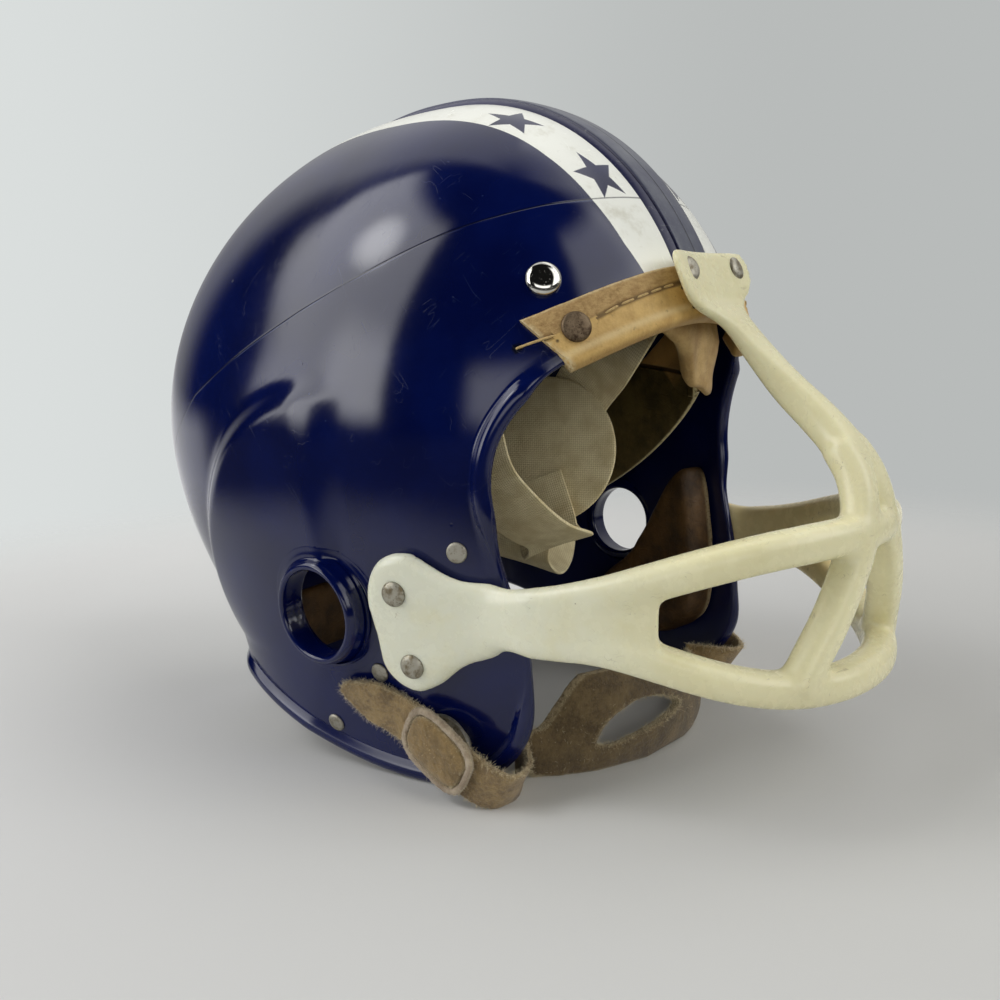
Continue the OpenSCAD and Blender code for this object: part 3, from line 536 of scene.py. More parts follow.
class Finish(Graph):
    """A material written as sums of signals."""

    def __init__(self, name, **constants):
        self.material = bpy.data.materials.new(name)
        super().__init__(self.material)
        self.shader = self.add("ShaderNodeBsdfPrincipled")
        self.set(**constants)
        self.end = self.add("ShaderNodeOutputMaterial", {}, {0: self.shader.outputs[0]})
        spot = self.add("ShaderNodeTexCoord").outputs["Object"]
        self.place = self.vectors("MULTIPLY_ADD", spot, (1 / MM,) * 3, tuple(-SHIFT)).outputs[0]
        self.x, self.y, self.z = self.axes(self.place)

    def set(self, **values):
        """Links or sets the shader's sockets."""
        self.feed(self.shader, {key.replace("_", " "): v for key, v in values.items()})

    def noise(self, size, detail=3.0, rough=0.55, at=None, stretch=None):
        """Cloudy noise about size mm across, near 0.5 on average."""
        at = at or self.place
        if stretch:
            at = self.vectors("MULTIPLY", at, stretch).outputs[0]
        return self.signal(self.add("ShaderNodeTexNoise", {}, {
            "Vector": at, "Scale": 1 / size, "Detail": detail, "Roughness": rough}))

    def cells(self, size, feature="F1", at=None):
        """Distance from the middles or the edges of scattered cells size mm across."""
        return self.signal(self.add("ShaderNodeTexVoronoi", {"feature": feature}, {
            "Vector": at or self.place, "Scale": 1 / size, "Randomness": 1.0}))

    def field(self, name):
        return self.signal(self.add("ShaderNodeAttribute", {"attribute_name": name}), "Fac")

    def shade(self, colour, share):
        """The colour times a signal."""
        grey = self.add("ShaderNodeCombineColor", {}, {0: share, 1: share, 2: share}).outputs[0]
        return self.add("ShaderNodeMix", {"data_type": "RGBA", "blend_type": "MULTIPLY"},
                        {0: 1.0, 6: colour, 7: grey}).outputs[2]

    def bump(self, height):
        """Relief whose heights are in millimetres."""
        node = self.add("ShaderNodeBump", {}, {"Strength": 1.0, "Distance": MM, "Height": height})
        self.set(Normal=node.outputs[0])

    def scratches(self, size, turn, width, seed, share=0.5):
        """Fine broken lines: the middle band of noise that is drawn out along one way,
        which is given by turns in degrees about the three axes."""
        turned_ = self.add("ShaderNodeMapping", {}, {0: self.place, 2: tuple(np.radians(turn))})
        at = self.vectors("ADD", turned_.outputs[0], (seed, seed * 2.3, 0)).outputs[0]
        lines = abs(self.noise(size, 1.0, 0.5, at, (0.06, 1.0, 1.0)) - 0.5).step(width, 0)
        gaps = self.noise(size * 2.2, 2.0, 0.6, at).step(1 - share, 1.06 - share)
        return lines * gaps


def specks(f, size, reach, seed, share):
    """Small separate dots: the cores of scattered cells, of which only some count."""
    at = f.vectors("ADD", f.place, (seed, -seed, seed * 0.7)).outputs[0]
    dot = f.cells(size, at=at).step(reach, reach * 0.5)
    return dot * f.noise(size * 3, 1.0, 0.5, at).step(1 - share, 1.02 - share)


STAR_W, STAR_H, STAR_INNER = 8.8, 12.3, 0.43


def star(f, centre, way):
    """Five pointed star in the plane that its way and the sideways axis span.
    The angle from the tip is folded into a tenth of a turn, and the edge is the
    straight line from the tip to the inner corner there."""
    fifth = 2 * math.pi / 5
    v = ((f.y - centre[1]) * way[1] + (f.z - centre[2]) * way[2]) / STAR_H
    u = (abs(f.x) - centre[0]) / STAR_W
    fold = abs((u.arctan2(v) / fifth + 10.5).fraction() - 0.5) * fifth
    r = (u * u + v * v) ** 0.5
    corner_x, corner_y = STAR_INNER * math.cos(fifth / 2), STAR_INNER * math.sin(fifth / 2)
    edge = (r * fold.cosine() - 1) * corner_y + r * fold.sine() * (1 - corner_x)
    return edge.step(0.012, -0.012) * (r < 1.6)


def shell_finish():
    """Glossy navy with a white stripe, two stars on each side, a moulding line with
    painted shade in its groove and a painted highlight beside it, scratches, chips,
    dust, and painted shade in the thread's hole."""
    f = Finish("navy_moulded_plastic", IOR=1.5)
    fine = f.noise(2.2, 4, 0.6)
    seam, outer = f.field("seam"), f.field("outer")
    stars = star(f, (23.0, -82.0, 205.5), (0, 0.75, 0.66)).most(
        star(f, (25.7, -48.4, 226.6), (0, 0.95, 0.31)))
    chips = specks(f, 17, 0.045, 3.1, 0.55) + specks(f, 8, 0.05, 9.7, 0.3)
    white = f.field("stripe").step(0.15, -0.15) * abs(f.x).step(11.9, 12.2)
    white = white * (1 - stars) * outer * (1 - chips.least(1.0))
    scratch = (f.scratches(5.0, (20, 35, 40), 0.004, 4, 0.42) * 0.5
               + f.scratches(4.2, (75, -20, 10), 0.005, 9, 0.4) * 0.45
               + f.scratches(7.0, (-40, 60, 100), 0.003, 17, 0.45) * 0.5)
    dust = specks(f, 7.0, 0.07, 5.3, 0.4)
    spots = specks(f, 19, 0.05, 12.3, 0.5) + specks(f, 10, 0.055, 21.7, 0.25)
    scuff = (f.noise(14, 5, 0.65).step(0.6, 0.75) * f.noise(3, 3, 0.6).step(0.45, 0.7)) * 0.25
    navy = f.blend(tone(2, 10, 56), tone(4, 17, 72), f.noise(38, 3).step(0.3, 0.7),
                   tone(50, 62, 104), (scratch * 0.4 + dust * 0.5 + scuff * 0.12).least(0.6),
                   tone(26, 30, 44), spots.least(1.0) * 0.85)
    pale = f.blend(tone(250, 251, 240),
                   tone(200, 196, 172), (f.noise(9, 5, 0.65).step(0.52, 0.8) * 0.55).least(1.0),
                   tone(110, 104, 84), f.scratches(3, (10, 20, 70), 0.01, 6, 0.4) * 0.3)
    # groove paints shade into the moulding groove; lit paints a highlight along its lower side
    groove = (1 - abs(seam).step(0.0, 0.45)) * outer
    lit = (1 - abs(seam + 0.6).step(0.0, 0.35)) * outer * f.noise(30, 2).step(0.4, 0.6)
    # The last layer paints a dark spot of shade where the thread goes into the shell, which has no
    # hole cut
    colour = f.blend(navy, pale, white, tone(12, 14, 30), groove * 0.8,
                     tone(96, 104, 134), lit * 0.5 * (1 - white),
                     tone(5, 6, 14), (1 - f.field("mark").step(1.2, 2.4)) * 0.95)
    f.set(Base_Color=colour, Roughness=0.09 + fine * 0.05 + scuff * 0.3 + scratch * 0.25
          + white * 0.13 + spots * 0.6 + (1 - outer) * 0.22)
    f.bump(f.noise(26, 2, 0.4) * 0.10 + fine * 0.004 - scratch * 0.012 - groove * 0.09
           - chips * 0.03 + white * 0.05)
    return f.material


def ridge_finish():
    """Greyed top with worn marks, navy flanks and a groove down the front, with shade painted into
    the groove.
    """
    f = Finish("worn_ridge_plastic", IOR=1.5)
    across = abs(f.field("across"))
    top = across.step(8.6, 8.2) * f.field("face").step(1.5, 1.9)
    grey = f.blend(tone(58, 62, 84), tone(92, 96, 106), f.noise(16, 4, 0.6).step(0.35, 0.7))
    near = f.blend(tone(13, 16, 62), grey, top * 0.9)
    line = (1 - across.step(0.15, 0.5)) * f.y.step(-40, -62)
    wear = f.scratches(2.4, (0, 0, 88), 0.012, 5, 0.5) + specks(f, 5, 0.06, 2.2, 0.4)
    # line darkens the groove down the front: painted shade in the groove
    colour = f.blend(tone(16, 20, 80), near, 0.35, near, f.y.step(-10, -50),
                     tone(14, 16, 34), line * 0.85, tone(150, 152, 152), wear.least(1.0) * 0.3)
    f.set(Base_Color=colour, Roughness=0.24 + f.noise(3, 4) * 0.16)
    f.bump(f.noise(1.4, 3) * 0.02 - line * 0.25)
    return f.material


def guard_finish():
    """Aged cream with rubs and scratches, darker in the joints, and painted shade that turns the
    far side yellower and darker.
    """
    f = Finish("aged_cream_plastic", IOR=1.47, Subsurface_Weight=0.12, Subsurface_Scale=0.004,
               Subsurface_Radius=(1.0, 0.8, 0.45))
    side = abs(f.x).step(60, 92)
    # joint_darkening darkens the joints between the bars in noisy patches
    joint_darkening = f.field("crease") * f.noise(2.2, 5, 0.7).step(0.35, 0.65)
    rub = f.noise(1.1, 4, 0.7).step(0.58, 0.72) \
        * f.noise(9, 3, 0.6, None, (0.35, 0.35, 1.6)).step(0.5, 0.66)
    scratch = f.scratches(2.6, (0, 0, 12), 0.014, 3, 0.4) \
        + f.scratches(3.4, (0, 8, -30), 0.010, 8, 0.36)
    dots = specks(f, 9, 0.035, 1.9, 0.6)
    base = f.blend(tone(239, 233, 190), tone(228, 229, 208), side,
                   # Painted shade: the far side, from x 30 to 70, turns yellower and darker
                   tone(232, 210, 150), f.x.step(30, 70) * 0.8,
                   tone(222, 214, 164), f.noise(30, 4, 0.6).step(0.45, 0.75) * 0.55,
                   tone(205, 196, 156), f.z.step(58, 36) * 0.4 * (1 - side),
                   tone(110, 92, 58),
                   (joint_darkening * 0.75 + rub * 0.32 + scratch * 0.35 + dots * 0.6).least(0.85))
    f.set(Base_Color=base, Roughness=0.21 + f.noise(4, 4) * 0.12 + rub * 0.2)
    f.bump(f.noise(13, 2, 0.4) * 0.1 + f.noise(1.6, 3) * 0.01 - scratch * 0.03)
    return f.material


def brow_finish():
    """Tan leather: worn and fibrous over the stitches, pale along the fold and at
    torn edges, with dark spots, and painted shade under the fold and on the inside."""
    f = Finish("dry_tan_leather", IOR=1.42)
    up, stitch = f.field("up"), f.field("stitch")
    upper = up.step(8.2, 8.9)
    fibre, mottle = f.noise(1.3, 5, 0.7, None, (0.3, 1, 1)), f.noise(7, 5, 0.65)
    worn = f.blend(tone(192, 160, 106), tone(162, 128, 80), fibre.step(0.35, 0.7))
    smooth = f.blend(tone(218, 182, 112), tone(194, 156, 92), mottle.step(0.35, 0.7))
    dark = specks(f, 9.5, 0.1, 4.4, 0.9) + specks(f, 5, 0.08, 8.8, 0.4)
    colour = f.blend(smooth, worn, upper,
                     tone(230, 206, 152), up.step(-0.6, 1.4) * up.step(3.4, 1.4) * 0.6,
                     # Painted shade: darker where the band turns under the edge and on its inside
                     # face
                     tone(150, 118, 70), up.step(-1.0, -3.0) * 0.6,
                     tone(222, 206, 164), f.field("cut") * f.noise(1.2, 4).step(0.3, 0.6) * 0.7,
                     tone(44, 30, 16), dark.least(1.0) * 0.9,
                     tone(70, 48, 26), (1 - stitch.step(0.3, 1.3)) * 0.75,
                     tone(120, 90, 52), f.noise(2.6, 5, 0.7).step(0.6, 0.72) * 0.5)
    f.set(Base_Color=colour,
          Roughness=0.62 + upper * 0.16 - f.noise(5, 3).step(0.4, 0.8) * 0.12)
    f.bump(f.cells(0.9) * 0.10 + fibre * (0.10 + upper * 0.22) + mottle * 0.2
           - (1 - stitch.step(0.2, 1.6)) * 0.45)
    return f.material


def deeper(colour, share):
    return tuple(share * c for c in colour[:3]) + (1.0,)


def leather(name, light, dark, grain, depth, edge, seam=None, upper=None):
    """Soft leather: pebbled cells, creases, rubbed patches and pale cut edges. It may
    have a sewn line and another colour above it."""
    f = Finish(name, IOR=1.42)
    mottle, fine = f.noise(11, 5, 0.65), f.noise(1.5, 5, 0.65)
    colour = f.blend(dark, light, mottle.step(0.3, 0.72),
                     deeper(dark, 0.55), fine.step(0.58, 0.8) * 0.6)
    crease = f.cells(grain * 5, "DISTANCE_TO_EDGE").step(0.06, 0)
    relief = f.cells(grain) * depth + fine * depth + mottle * 0.3 - crease * 0.08
    if upper:
        colour = f.blend(colour, f.shade(upper, 0.7 + mottle * 0.6), f.field("upper"))
    colour = f.blend(colour, edge, f.field("cut") * f.noise(1.0, 4).step(0.25, 0.5))
    if seam:
        line = 1 - abs(f.field("seam")).step(0.4, 1.2)
        colour = f.blend(colour, seam, line * 0.85)
        relief = relief - line * 0.5
    f.set(Base_Color=colour, Roughness=0.6 - mottle.step(0.4, 0.8) * 0.12)
    f.bump(relief)
    return f.material


def canvas_finish():
    """Plain weave: warp and weft ribs that pass over each other in turn."""
    f = Finish("cream_canvas", IOR=1.4)
    pitch = 0.85
    warp, weft = f.field("across").wave(pitch * 2), f.field("along").wave(pitch * 2)
    over = (warp * weft).step(-0.35, 0.35)
    ribs = abs(warp) * over + abs(weft) * (1 - over)
    mottle = f.noise(8, 5, 0.6)
    cloth = f.blend(tone(244, 232, 192), tone(218, 202, 156), mottle.step(0.35, 0.7))
    colour = f.blend(tone(206, 188, 142), cloth, ribs.step(0.15, 0.75),
                     tone(190, 164, 112), f.noise(18, 3).step(0.5, 0.75) * 0.4,
                     tone(224, 214, 178), f.noise(0.5, 2).step(0.55, 0.8) * 0.35)
    f.set(Base_Color=colour, Roughness=0.86)
    f.bump(ribs * 0.22 + f.noise(0.7, 3) * 0.12 + mottle * 0.3)
    return f.material


def suede_finish(name, light, dark, nap):
    """Rough suede: clouds, a deep nap and pale fluff at the cut edges."""
    f = Finish(name, IOR=1.4, Sheen_Weight=0.25, Sheen_Roughness=0.6)
    mottle, fluff, fine = f.noise(7, 5, 0.65), f.noise(1.5, 5, 0.72), f.noise(0.45, 3, 0.7)
    colour = f.blend(dark, light, (mottle * 0.6 + fluff * 0.4).step(0.36, 0.64),
                     deeper(dark, 0.45), fine.step(0.56, 0.8) * 0.7,
                     tone(186, 168, 126), fine.step(0.42, 0.22) * 0.4,
                     tone(176, 160, 124), f.field("cut") * fluff.step(0.3, 0.6) * 0.6)
    f.set(Base_Color=colour, Roughness=0.92)
    f.bump(fluff * 0.55 * nap + fine * 0.22 * nap + mottle * 0.5)
    return f.material


def metal(name, colour, rough, pits, stain, depth=0.06, dark=0.6):
    """Plated metal with pits and tarnish, with painted shade at the foot of each head."""
    f = Finish(name)
    cloud, fine = f.noise(2.6, 5, 0.65), f.noise(0.55, 4, 0.7)
    spots = f.cells(0.9).step(0.28, 0.12) * fine.step(0.4, 0.6)
    # The last layer paints shade in a ring at the foot of each head, by the share dark
    shade = f.blend(colour, stain, cloud.step(0.42, 0.68) * pits,
                    tone(40, 32, 24), spots * pits, tone(26, 22, 18), f.field("rim") * dark)
    f.set(Base_Color=shade, Roughness=rough + cloud * 0.2 * pits, Metallic=1.0)
    f.bump(fine * depth * pits + cloud * depth * pits - spots * depth)
    return f.material


def plain(name, colour, rough, size):
    """Thread or fibre: one colour with fine clouds in it."""
    f = Finish(name, IOR=1.4)
    cloud = f.noise(size, 4, 0.65)
    f.set(Base_Color=f.blend(deeper(colour, 0.6), colour, cloud.step(0.25, 0.6)), Roughness=rough)
    f.bump(cloud * 0.05 + f.noise(size / 3, 3) * 0.05)
    return f.material


SHELL_PLASTIC = shell_finish()
RIDGE_PLASTIC = ridge_finish()
GUARD_PLASTIC = guard_finish()
BROW_LEATHER = brow_finish()
PAD_LEATHER = leather("cream_pad_leather", tone(200, 170, 116), tone(166, 134, 84), 0.9, 0.1,
                      tone(206, 190, 150), tone(40, 26, 10))
BAND_LEATHER = leather("olive_headband_leather", tone(96, 82, 44), tone(58, 48, 22), 1.1, 0.08,
                       tone(196, 184, 140), tone(30, 18, 8), tone(186, 144, 84))
JAW_LEATHER = leather("brown_jaw_leather", tone(96, 68, 32), tone(52, 35, 14), 1.0, 0.1,
                      tone(200, 180, 140))
CANVAS = canvas_finish()
SUEDE = suede_finish("rough_suede", tone(160, 134, 86), tone(108, 86, 50), 1.2)
SUEDE_CUP = suede_finish("cup_suede", tone(118, 98, 62), tone(78, 62, 35), 1.2)
SUEDE_CAP = suede_finish("cap_suede", tone(142, 116, 68), tone(104, 82, 42), 0.9)
SUEDE_RING = suede_finish("ring_suede", tone(176, 160, 136), tone(128, 110, 88), 0.9)
FIBRE = plain("suede_fibre", tone(236, 222, 186), 0.9, 4.0)
THREAD = plain("linen_thread", tone(206, 176, 120), 0.8, 0.8)
STEEL = metal("dull_screw_steel", tone(176, 172, 158), 0.42, 1.0, tone(120, 108, 84))
BRASS = metal("tarnished_rivet", tone(120, 104, 84), 0.45, 1.0, tone(70, 56, 44), 0.09)
PALE_BRASS = metal("pale_rivet", tone(176, 172, 160), 0.5, 0.7, tone(120, 112, 92))
CHROME = metal("domed_chrome", tone(206, 204, 196), 0.07, 0.12, tone(120, 110, 84), 0.02, 0.35)


# ------------------------------------------------------------------ shell
def edge_loop(count):
    """The shell's edge: brow, cheek, lower edge and nape on the left, then mirrored."""
    x = np.linspace(0, 57, 50)
    c = curve(CHEEK, 12)
    y = np.linspace(-53, -7, 24)
    half = np.vstack([front_point(x, brow_z(x)), side_point(c[:, 0], c[:, 1]),
                      side_point(y, rim_z(y)), rim_behind(np.linspace(89, 0, 80))])
    half = spaced(half, count // 2 + 1)
    loop = np.vstack([half, (half * FLIP)[-2:0:-1]])
    for _ in range(3):
        loop = (np.roll(loop, 1, 0) + 2 * loop + np.roll(loop, -1, 0)) / 4
    return on_shell(loop)


def bead_share(z):
    """No bead under the brow band, and a lower one where the guard crosses the edge."""
    return ease((143 - z) / 8) * (1 - 0.75 * ease((z - 26) / 20) * ease((100 - z) / 18))


def shell_skin(count=456, rows=122, lining=32):
    """Rows run from the edge to a point near the crown: the starts are slid along
    great circles about the core, then thrown onto the face. The lining is the face
    moved in by the wall, and the edge carries the rolled or plain section."""
    edge = edge_loop(count)
    o = out(edge)
    run = unit(np.roll(edge, -1, 0) - np.roll(edge, 1, 0))
    inward = unit(np.cross(o, run))
    starts = unit(on_shell(edge + 5 * inward) - CORE)
    w = np.arccos(np.clip(starts @ POLE, -1, 1))

    def rows_of(s):
        s = s[:, None, None]
        turn = w[None, :, None]
        way = np.sin((1 - s) * turn) * starts + np.sin(s * turn) * POLE
        return along(way / np.sin(turn))

    outer = rows_of(np.linspace(0, 0.988, rows))
    inner = rows_of(np.linspace(0.97, 0, lining))
    inner = inner - WALL * out(inner)
    s = mixed(PLAIN[:, None], BEADED[:, None], bead_share(edge[:, 2])[None, :, None])
    bead = edge + s[..., :1] * BEAD * inward + (s[..., 1:2] * WALL + s[..., 2:] * BEAD) * o
    face = np.concatenate([np.zeros(lining + 6), np.ones(len(BEADED) - 6 + rows)])
    return skin(np.concatenate([inner, bead, outer]), {"outer": face[:, None]})


SEAM = np.array([[-91.1, 197.9], [-86.1, 196.6], [-77.3, 194.5], [-63.3, 190.1], [-55.7, 187.4],
                 [-30.7, 176.1], [-2.7, 164.1], [22.2, 152.7], [60.4, 134], [100, 105], [135, 80]])


def stripe_reach(p):
    """Half width of the white stripe by angle from the front about the core."""
    turn = np.degrees(np.arctan2(p[:, 2] - 110, -p[:, 1])) % 360
    return np.interp(turn, [30, 36.5, 45, 56, 90, 180, 217], [27.5, 31, 33, 34.2, 34.5, 34, 31])


THREAD_HOLE = on_shell(np.array([-70.0, -82.7, 149.8]))


def paint_shell(piece):
    """Values for the finish, from each point's place: distance past the stripe's
    edge, distance from the moulding line, and distance from the thread's hole."""
    p = drawing_points(piece.data)
    set_field(piece.data, "stripe", np.abs(p[:, 0]) - stripe_reach(p))
    set_field(piece.data, "seam", 0.9 * (p[:, 2] - np.interp(p[:, 1], SEAM[:, 0], SEAM[:, 1])))
    set_field(piece.data, "mark", np.linalg.norm(p - THREAD_HOLE, axis=1))


shell = solid("shell_plastic_skin", shell_skin(), SHELL_PLASTIC, "helmet", ["shell"])
ear_bore = turned([[19.4, -130], [19.4, 130]], np.array([0, EAR_Y, EAR_Z]), [1.0, 0, 0], 96)
cutter = solid("ear_cutter", ear_bore, SHELL_PLASTIC, None)
worked(shell, "BOOLEAN", operation="DIFFERENCE", solver="EXACT", object=cutter)
bpy.data.objects.remove(cutter)
shell.data.set_sharp_from_angle(angle=math.radians(50))
paint_shell(shell)


def ear_collar():
    """Lip of the ear hole: a rounded section turned about the hole's way. Far from
    the bore its heights are taken over the shell's face, so that it runs out into it."""
    section = curve([[EAR_R, -4.9], [EAR_R, 0], [EAR_R, 3.2], [15.85, 4.1], [16.7, 4.4],
                     [17.6, 4.15], [18.3, 3.2], [18.55, 2.0], [18.9, 1.1], [19.8, 0.45],
                     [21.4, 0.12], [23.6, -0.04], [23.6, -0.5], [20.4, -0.9], [19.8, -2.0],
                     [20.2, -3.3], [20.0, -4.2], [18.6, -5]], 4, True)
    r, h = section[:, :1, None], section[:, 1:, None]
    over = side_point(EAR_Y, EAR_Z) + r * circle(*frame_of(EAR_WAY), 96)
    face = side_point(over[..., 1], over[..., 2])
    face = face + h * out(face)
    rings = mixed(over + h * EAR_WAY, face, ease((r - 17.0) / 3.6) * (h > -1.5))
    far = np.full(rings.shape[:2], 40.0)
    return skin(rings, {"outer": 1.0, "stripe": far, "seam": far, "mark": far}, True)


solid("ear_hole_lips", both([ear_collar()]), SHELL_PLASTIC, "helmet", (), 60)


def ridge_skin():
    """The ridge's section, with sloping flanks and a groove at each side of its flat
    face, laid over the crown by angle about the core."""
    half = np.array([[12.3, -0.6], [12.2, -0.05], [11.5, 0.4], [9.7, 1.35], [9.25, 1.4],
                     [9.0, 0.75], [8.8, 0.85], [8.55, 1.85], [8.1, 2.2], [7.0, 2.28],
                     [3.5, 2.34], [0.6, 2.35], [0.0, 2.35]])
    section = np.vstack([half, (half * [-1, 1])[-2::-1]])
    low = math.degrees(math.asin(unit(front_point(0.0, BROW_Z + BAND_W + 1) - CORE)[2]))
    turn = np.radians(np.linspace(low, 217, 300))
    middle = along(points(0 * turn, -np.cos(turn), np.sin(turn)))
    p = on_shell(middle[:, None] + section[None, :, :1] * [1, 0, 0])
    rings = p + section[None, :, 1:] * out(p)
    return skin(rings, {"across": section[None, :, 0], "face": section[None, :, 1]})


solid("crown_ridge_strip", ridge_skin(), RIDGE_PLASTIC, "helmet", ["crown_ridge"],
      35)


# ------------------------------------------------------------------ face guard
ROOT_Y, REACH = -60.0, 108.5
PLATE_T, BAR_H, BAR_T, ARM_T = 6.0, 11.4, 12.0, 10.0
ARM_START, ARM_END, ARM_OFF, BAR_FROM, BAR_STEPS = 0.13, 0.64, 0.9, 0.3, 150
SOFT_GAP, BAND_T = 0.3, 2.2
TOP_T, TOP_SHIFT = 4.4, 4.0
PLATE_TOP, BAND_TOP = SOFT_GAP + PLATE_T, SOFT_GAP + BAND_T
TOP_LOW = BAND_TOP + SOFT_GAP
SWEEP_W = float((side_x(ROOT_Y - REACH * ARM_START, 66.2) + PLATE_TOP - PLATE_T / 2 + ARM_OFF)
                / math.sqrt(1 - ARM_START**2))
PLATE = [[-50, 86], [-41, 82], [-36.5, 71], [-38.5, 57], [-40, 45], [-49, 38.5],
         [-60, 41], [-69, 48.5], [-80, 53], [-81, 65], [-80, 77], [-68, 79], [-59, 83.5]]
NOSE = [[-121.5, 155.5, 9.5], [-130, 145, 7.4], [-140, 134, 6.5], [-150, 124.8, 6.5],
        [-158, 116.5, 7.6], [-163.5, 108, 9]]
LEG = [[3.4, -158.5, 116], [4.6, -164, 108], [6.6, -167, 99], [9.6, -168, 89],
       [15.5, -167.6, 79], [24, -165.3, 65], [32.5, -161.3, 51], [36, -160, 45]]


def upper_z(e):
    """Level of the upper bar by its reach, from 0 at the plates to 1 in front."""
    return mixed(71.5, 90.2, ease((e - 0.25) / 0.75))


def lower_z(e):
    """Level of the lower bar by its reach."""
    return mixed(60.9, 43.6, ease((e - 0.45) / 0.55))


def laid(path, across, section):
    """A section along a path, broad along a direction that stands square to the path
    and to the one given, and high square to both."""
    fore = unit(np.gradient(path, axis=0))
    side = unit(np.cross(across, fore))
    up = np.cross(fore, side)
    return path[:, None] + section[..., :1] * side[:, None] + section[..., 1:] * up[:, None]


def bar(height):
    """Half ellipse round the face, whose level eases with its reach."""
    a = np.linspace(math.asin(BAR_FROM), math.pi - math.asin(BAR_FROM), BAR_STEPS)
    e = np.sin(a)
    path = points(SWEEP_W * np.cos(a), ROOT_Y - REACH * e, height(e))
    t = mixed(ARM_T - 1.4, BAR_T, ease((-path[:, 1] + ROOT_Y - 36) / 30)) / 2
    shape = rounded(1.0, BAR_H / 2, 40, 3.0)
    section = np.stack(np.broadcast_arrays(t[:, None] * shape[:, 0], shape[:, 1]), -1)
    return skin(laid(path, [0, 0, 1.0], section))


def arm():
    """Broad flat arm from both bars to the side plate."""
    e = np.linspace(ARM_START, ARM_END, 40)
    flush = ARM_OFF * (1 - ease((e - ARM_START) / 0.16))
    path = points(SWEEP_W * np.sqrt(1 - e * e) - flush, ROOT_Y - REACH * e,
                  (upper_z(e) + lower_z(e)) / 2)
    t = mixed(PLATE_T, ARM_T, ease((e - ARM_START) / 0.34)) / 2
    h = (upper_z(e) - lower_z(e) + BAR_H) / 2
    shape = rounded(1, 1, 64, 4.5)
    section = np.stack([t[:, None] * shape[:, 0], h[:, None] * shape[:, 1]], -1)
    return skin(laid(path, [0, 0, 1.0], section))


def side_patch(outline, middle, rings, steps):
    """Patch on the side of the shell: its outline, as a smooth loop, is shrunk towards
    the middle by the share that goes with each height over the face."""
    loop = curve(outline, steps, True)
    r = curve(np.array(rings), 3)
    q = middle + r[:, None, :1] * (loop - middle)
    face = side_point(q[..., 0], q[..., 1])
    return skin(face + r[:, None, 1:] * out(face))


def side_plate():
    """Plate with rounded rims, from the shell's face to its own thickness."""
    low, high = SOFT_GAP, PLATE_TOP
    rings = [[0.02, low], [0.35, low], [0.7, low], [0.97, low], [1, mixed(low, high, 0.25)],
             [1, mixed(low, high, 0.65)], [0.95, mixed(low, high, 0.92)], [0.87, high],
             [0.7, high], [0.35, high], [0.02, high]]
    return side_patch(PLATE, np.array([-57.0, 63.0]), rings, 8)


TOP_W, SQUARE, OBLONG = 21.5, 4, 2.7
TOP_ROWS = [[18, 0.8], [16.3, 0.95], [12, 1], [6, 0.96], [0, 0.78]]


def nose_bar():
    """Top plate over the brow band, drawn down into the nose bar: each ring is a
    rounded oblong whose width, depth and squareness change along the middle line. The
    plate lies to the wearer's right of it, is wider over its face than under it, and
    bends round the brow."""
    rows = []
    for up, share in TOP_ROWS:
        p = brow_skin(0.0, up, TOP_LOW + TOP_T / 2)
        rows.append([p[1], p[2], TOP_W * share, TOP_T / 2 - 0.6 * (up > 17.5), 1, SQUARE])
    for i, (y, z, w) in enumerate(NOSE):
        deep = mixed(TOP_T / 2, BAR_T / 2, ease((i + 1) / 4))
        rows.append([y, z, w, deep, 0.3 * (i == 0), OBLONG])
    y, z, wide, deep, plate, power = np.moveaxis(curve(rows, 7)[:, :, None], 1, 0)
    path = points(0, y[:, 0], z[:, 0])
    up = unit(np.cross(unit(np.gradient(path, axis=0)), [-1.0, 0, 0]))
    a = angles(56, 0.5)
    x = wide * powered(np.cos(a), 2 / power)
    h = deep * powered(np.sin(a), 2 / power)
    held = np.clip(plate, 0, 1)
    x = x * (1 + held * (0.11 - 0.16 * h / deep))
    h = h - plate * 0.0052 * x * x
    x = x + TOP_SHIFT * held
    return skin(path[:, None] + x[..., None] * [-1.0, 0, 0] + h[..., None] * up[:, None])


def leg():
    return skin(laid(curve(LEG, 10), [0, 1.0, 0], rounded(6.1, BAR_T / 2 - 0.4, 36, 3.0)))


def face_guard():
    """All the guard's bars as one body: closed forms grown together in small
    cubes, then eased so that each joint gets a fillet."""
    pairs = [q for part in (arm(), side_plate(), leg()) for q in both([part])]
    piece = solid("face_guard_bars", [bar(upper_z), bar(lower_z), nose_bar(), *pairs],
                  GUARD_PLASTIC, "helmet", ["face_guard"])
    worked(piece, "REMESH", mode="VOXEL", voxel_size=1.0 * MM)
    worked(piece, "SMOOTH", factor=0.5, iterations=22)
    p = drawing_points(piece.data)
    near = ease((-52 - p[:, 1]) / 12) * ease((p[:, 1] + 96) / 12)
    group = piece.vertex_groups.new(name="joint")
    for step in np.unique(np.round(near, 1)):
        if step > 0:
            group.add(np.flatnonzero(np.round(near, 1) == step).tolist(), float(step), "REPLACE")
    worked(piece, "SMOOTH", factor=0.5, iterations=130, vertex_group="joint")
    piece.vertex_groups.clear()
    dress(piece.data, GUARD_PLASTIC)
    p = drawing_points(piece.data)
    p[:, 0] = np.abs(p[:, 0])
    spots = [[4.5, -168, 98, 13], [12, -172, 86, 9], [33, -165, 49, 8], [30, -157, 56, 8]]
    near = sum(np.exp(-((p - [x, y, z]) ** 2).sum(1) / r**2) for x, y, z, r in spots)
    set_field(piece.data, "crease", np.clip(near, 0, 1) * 0.1)


face_guard()

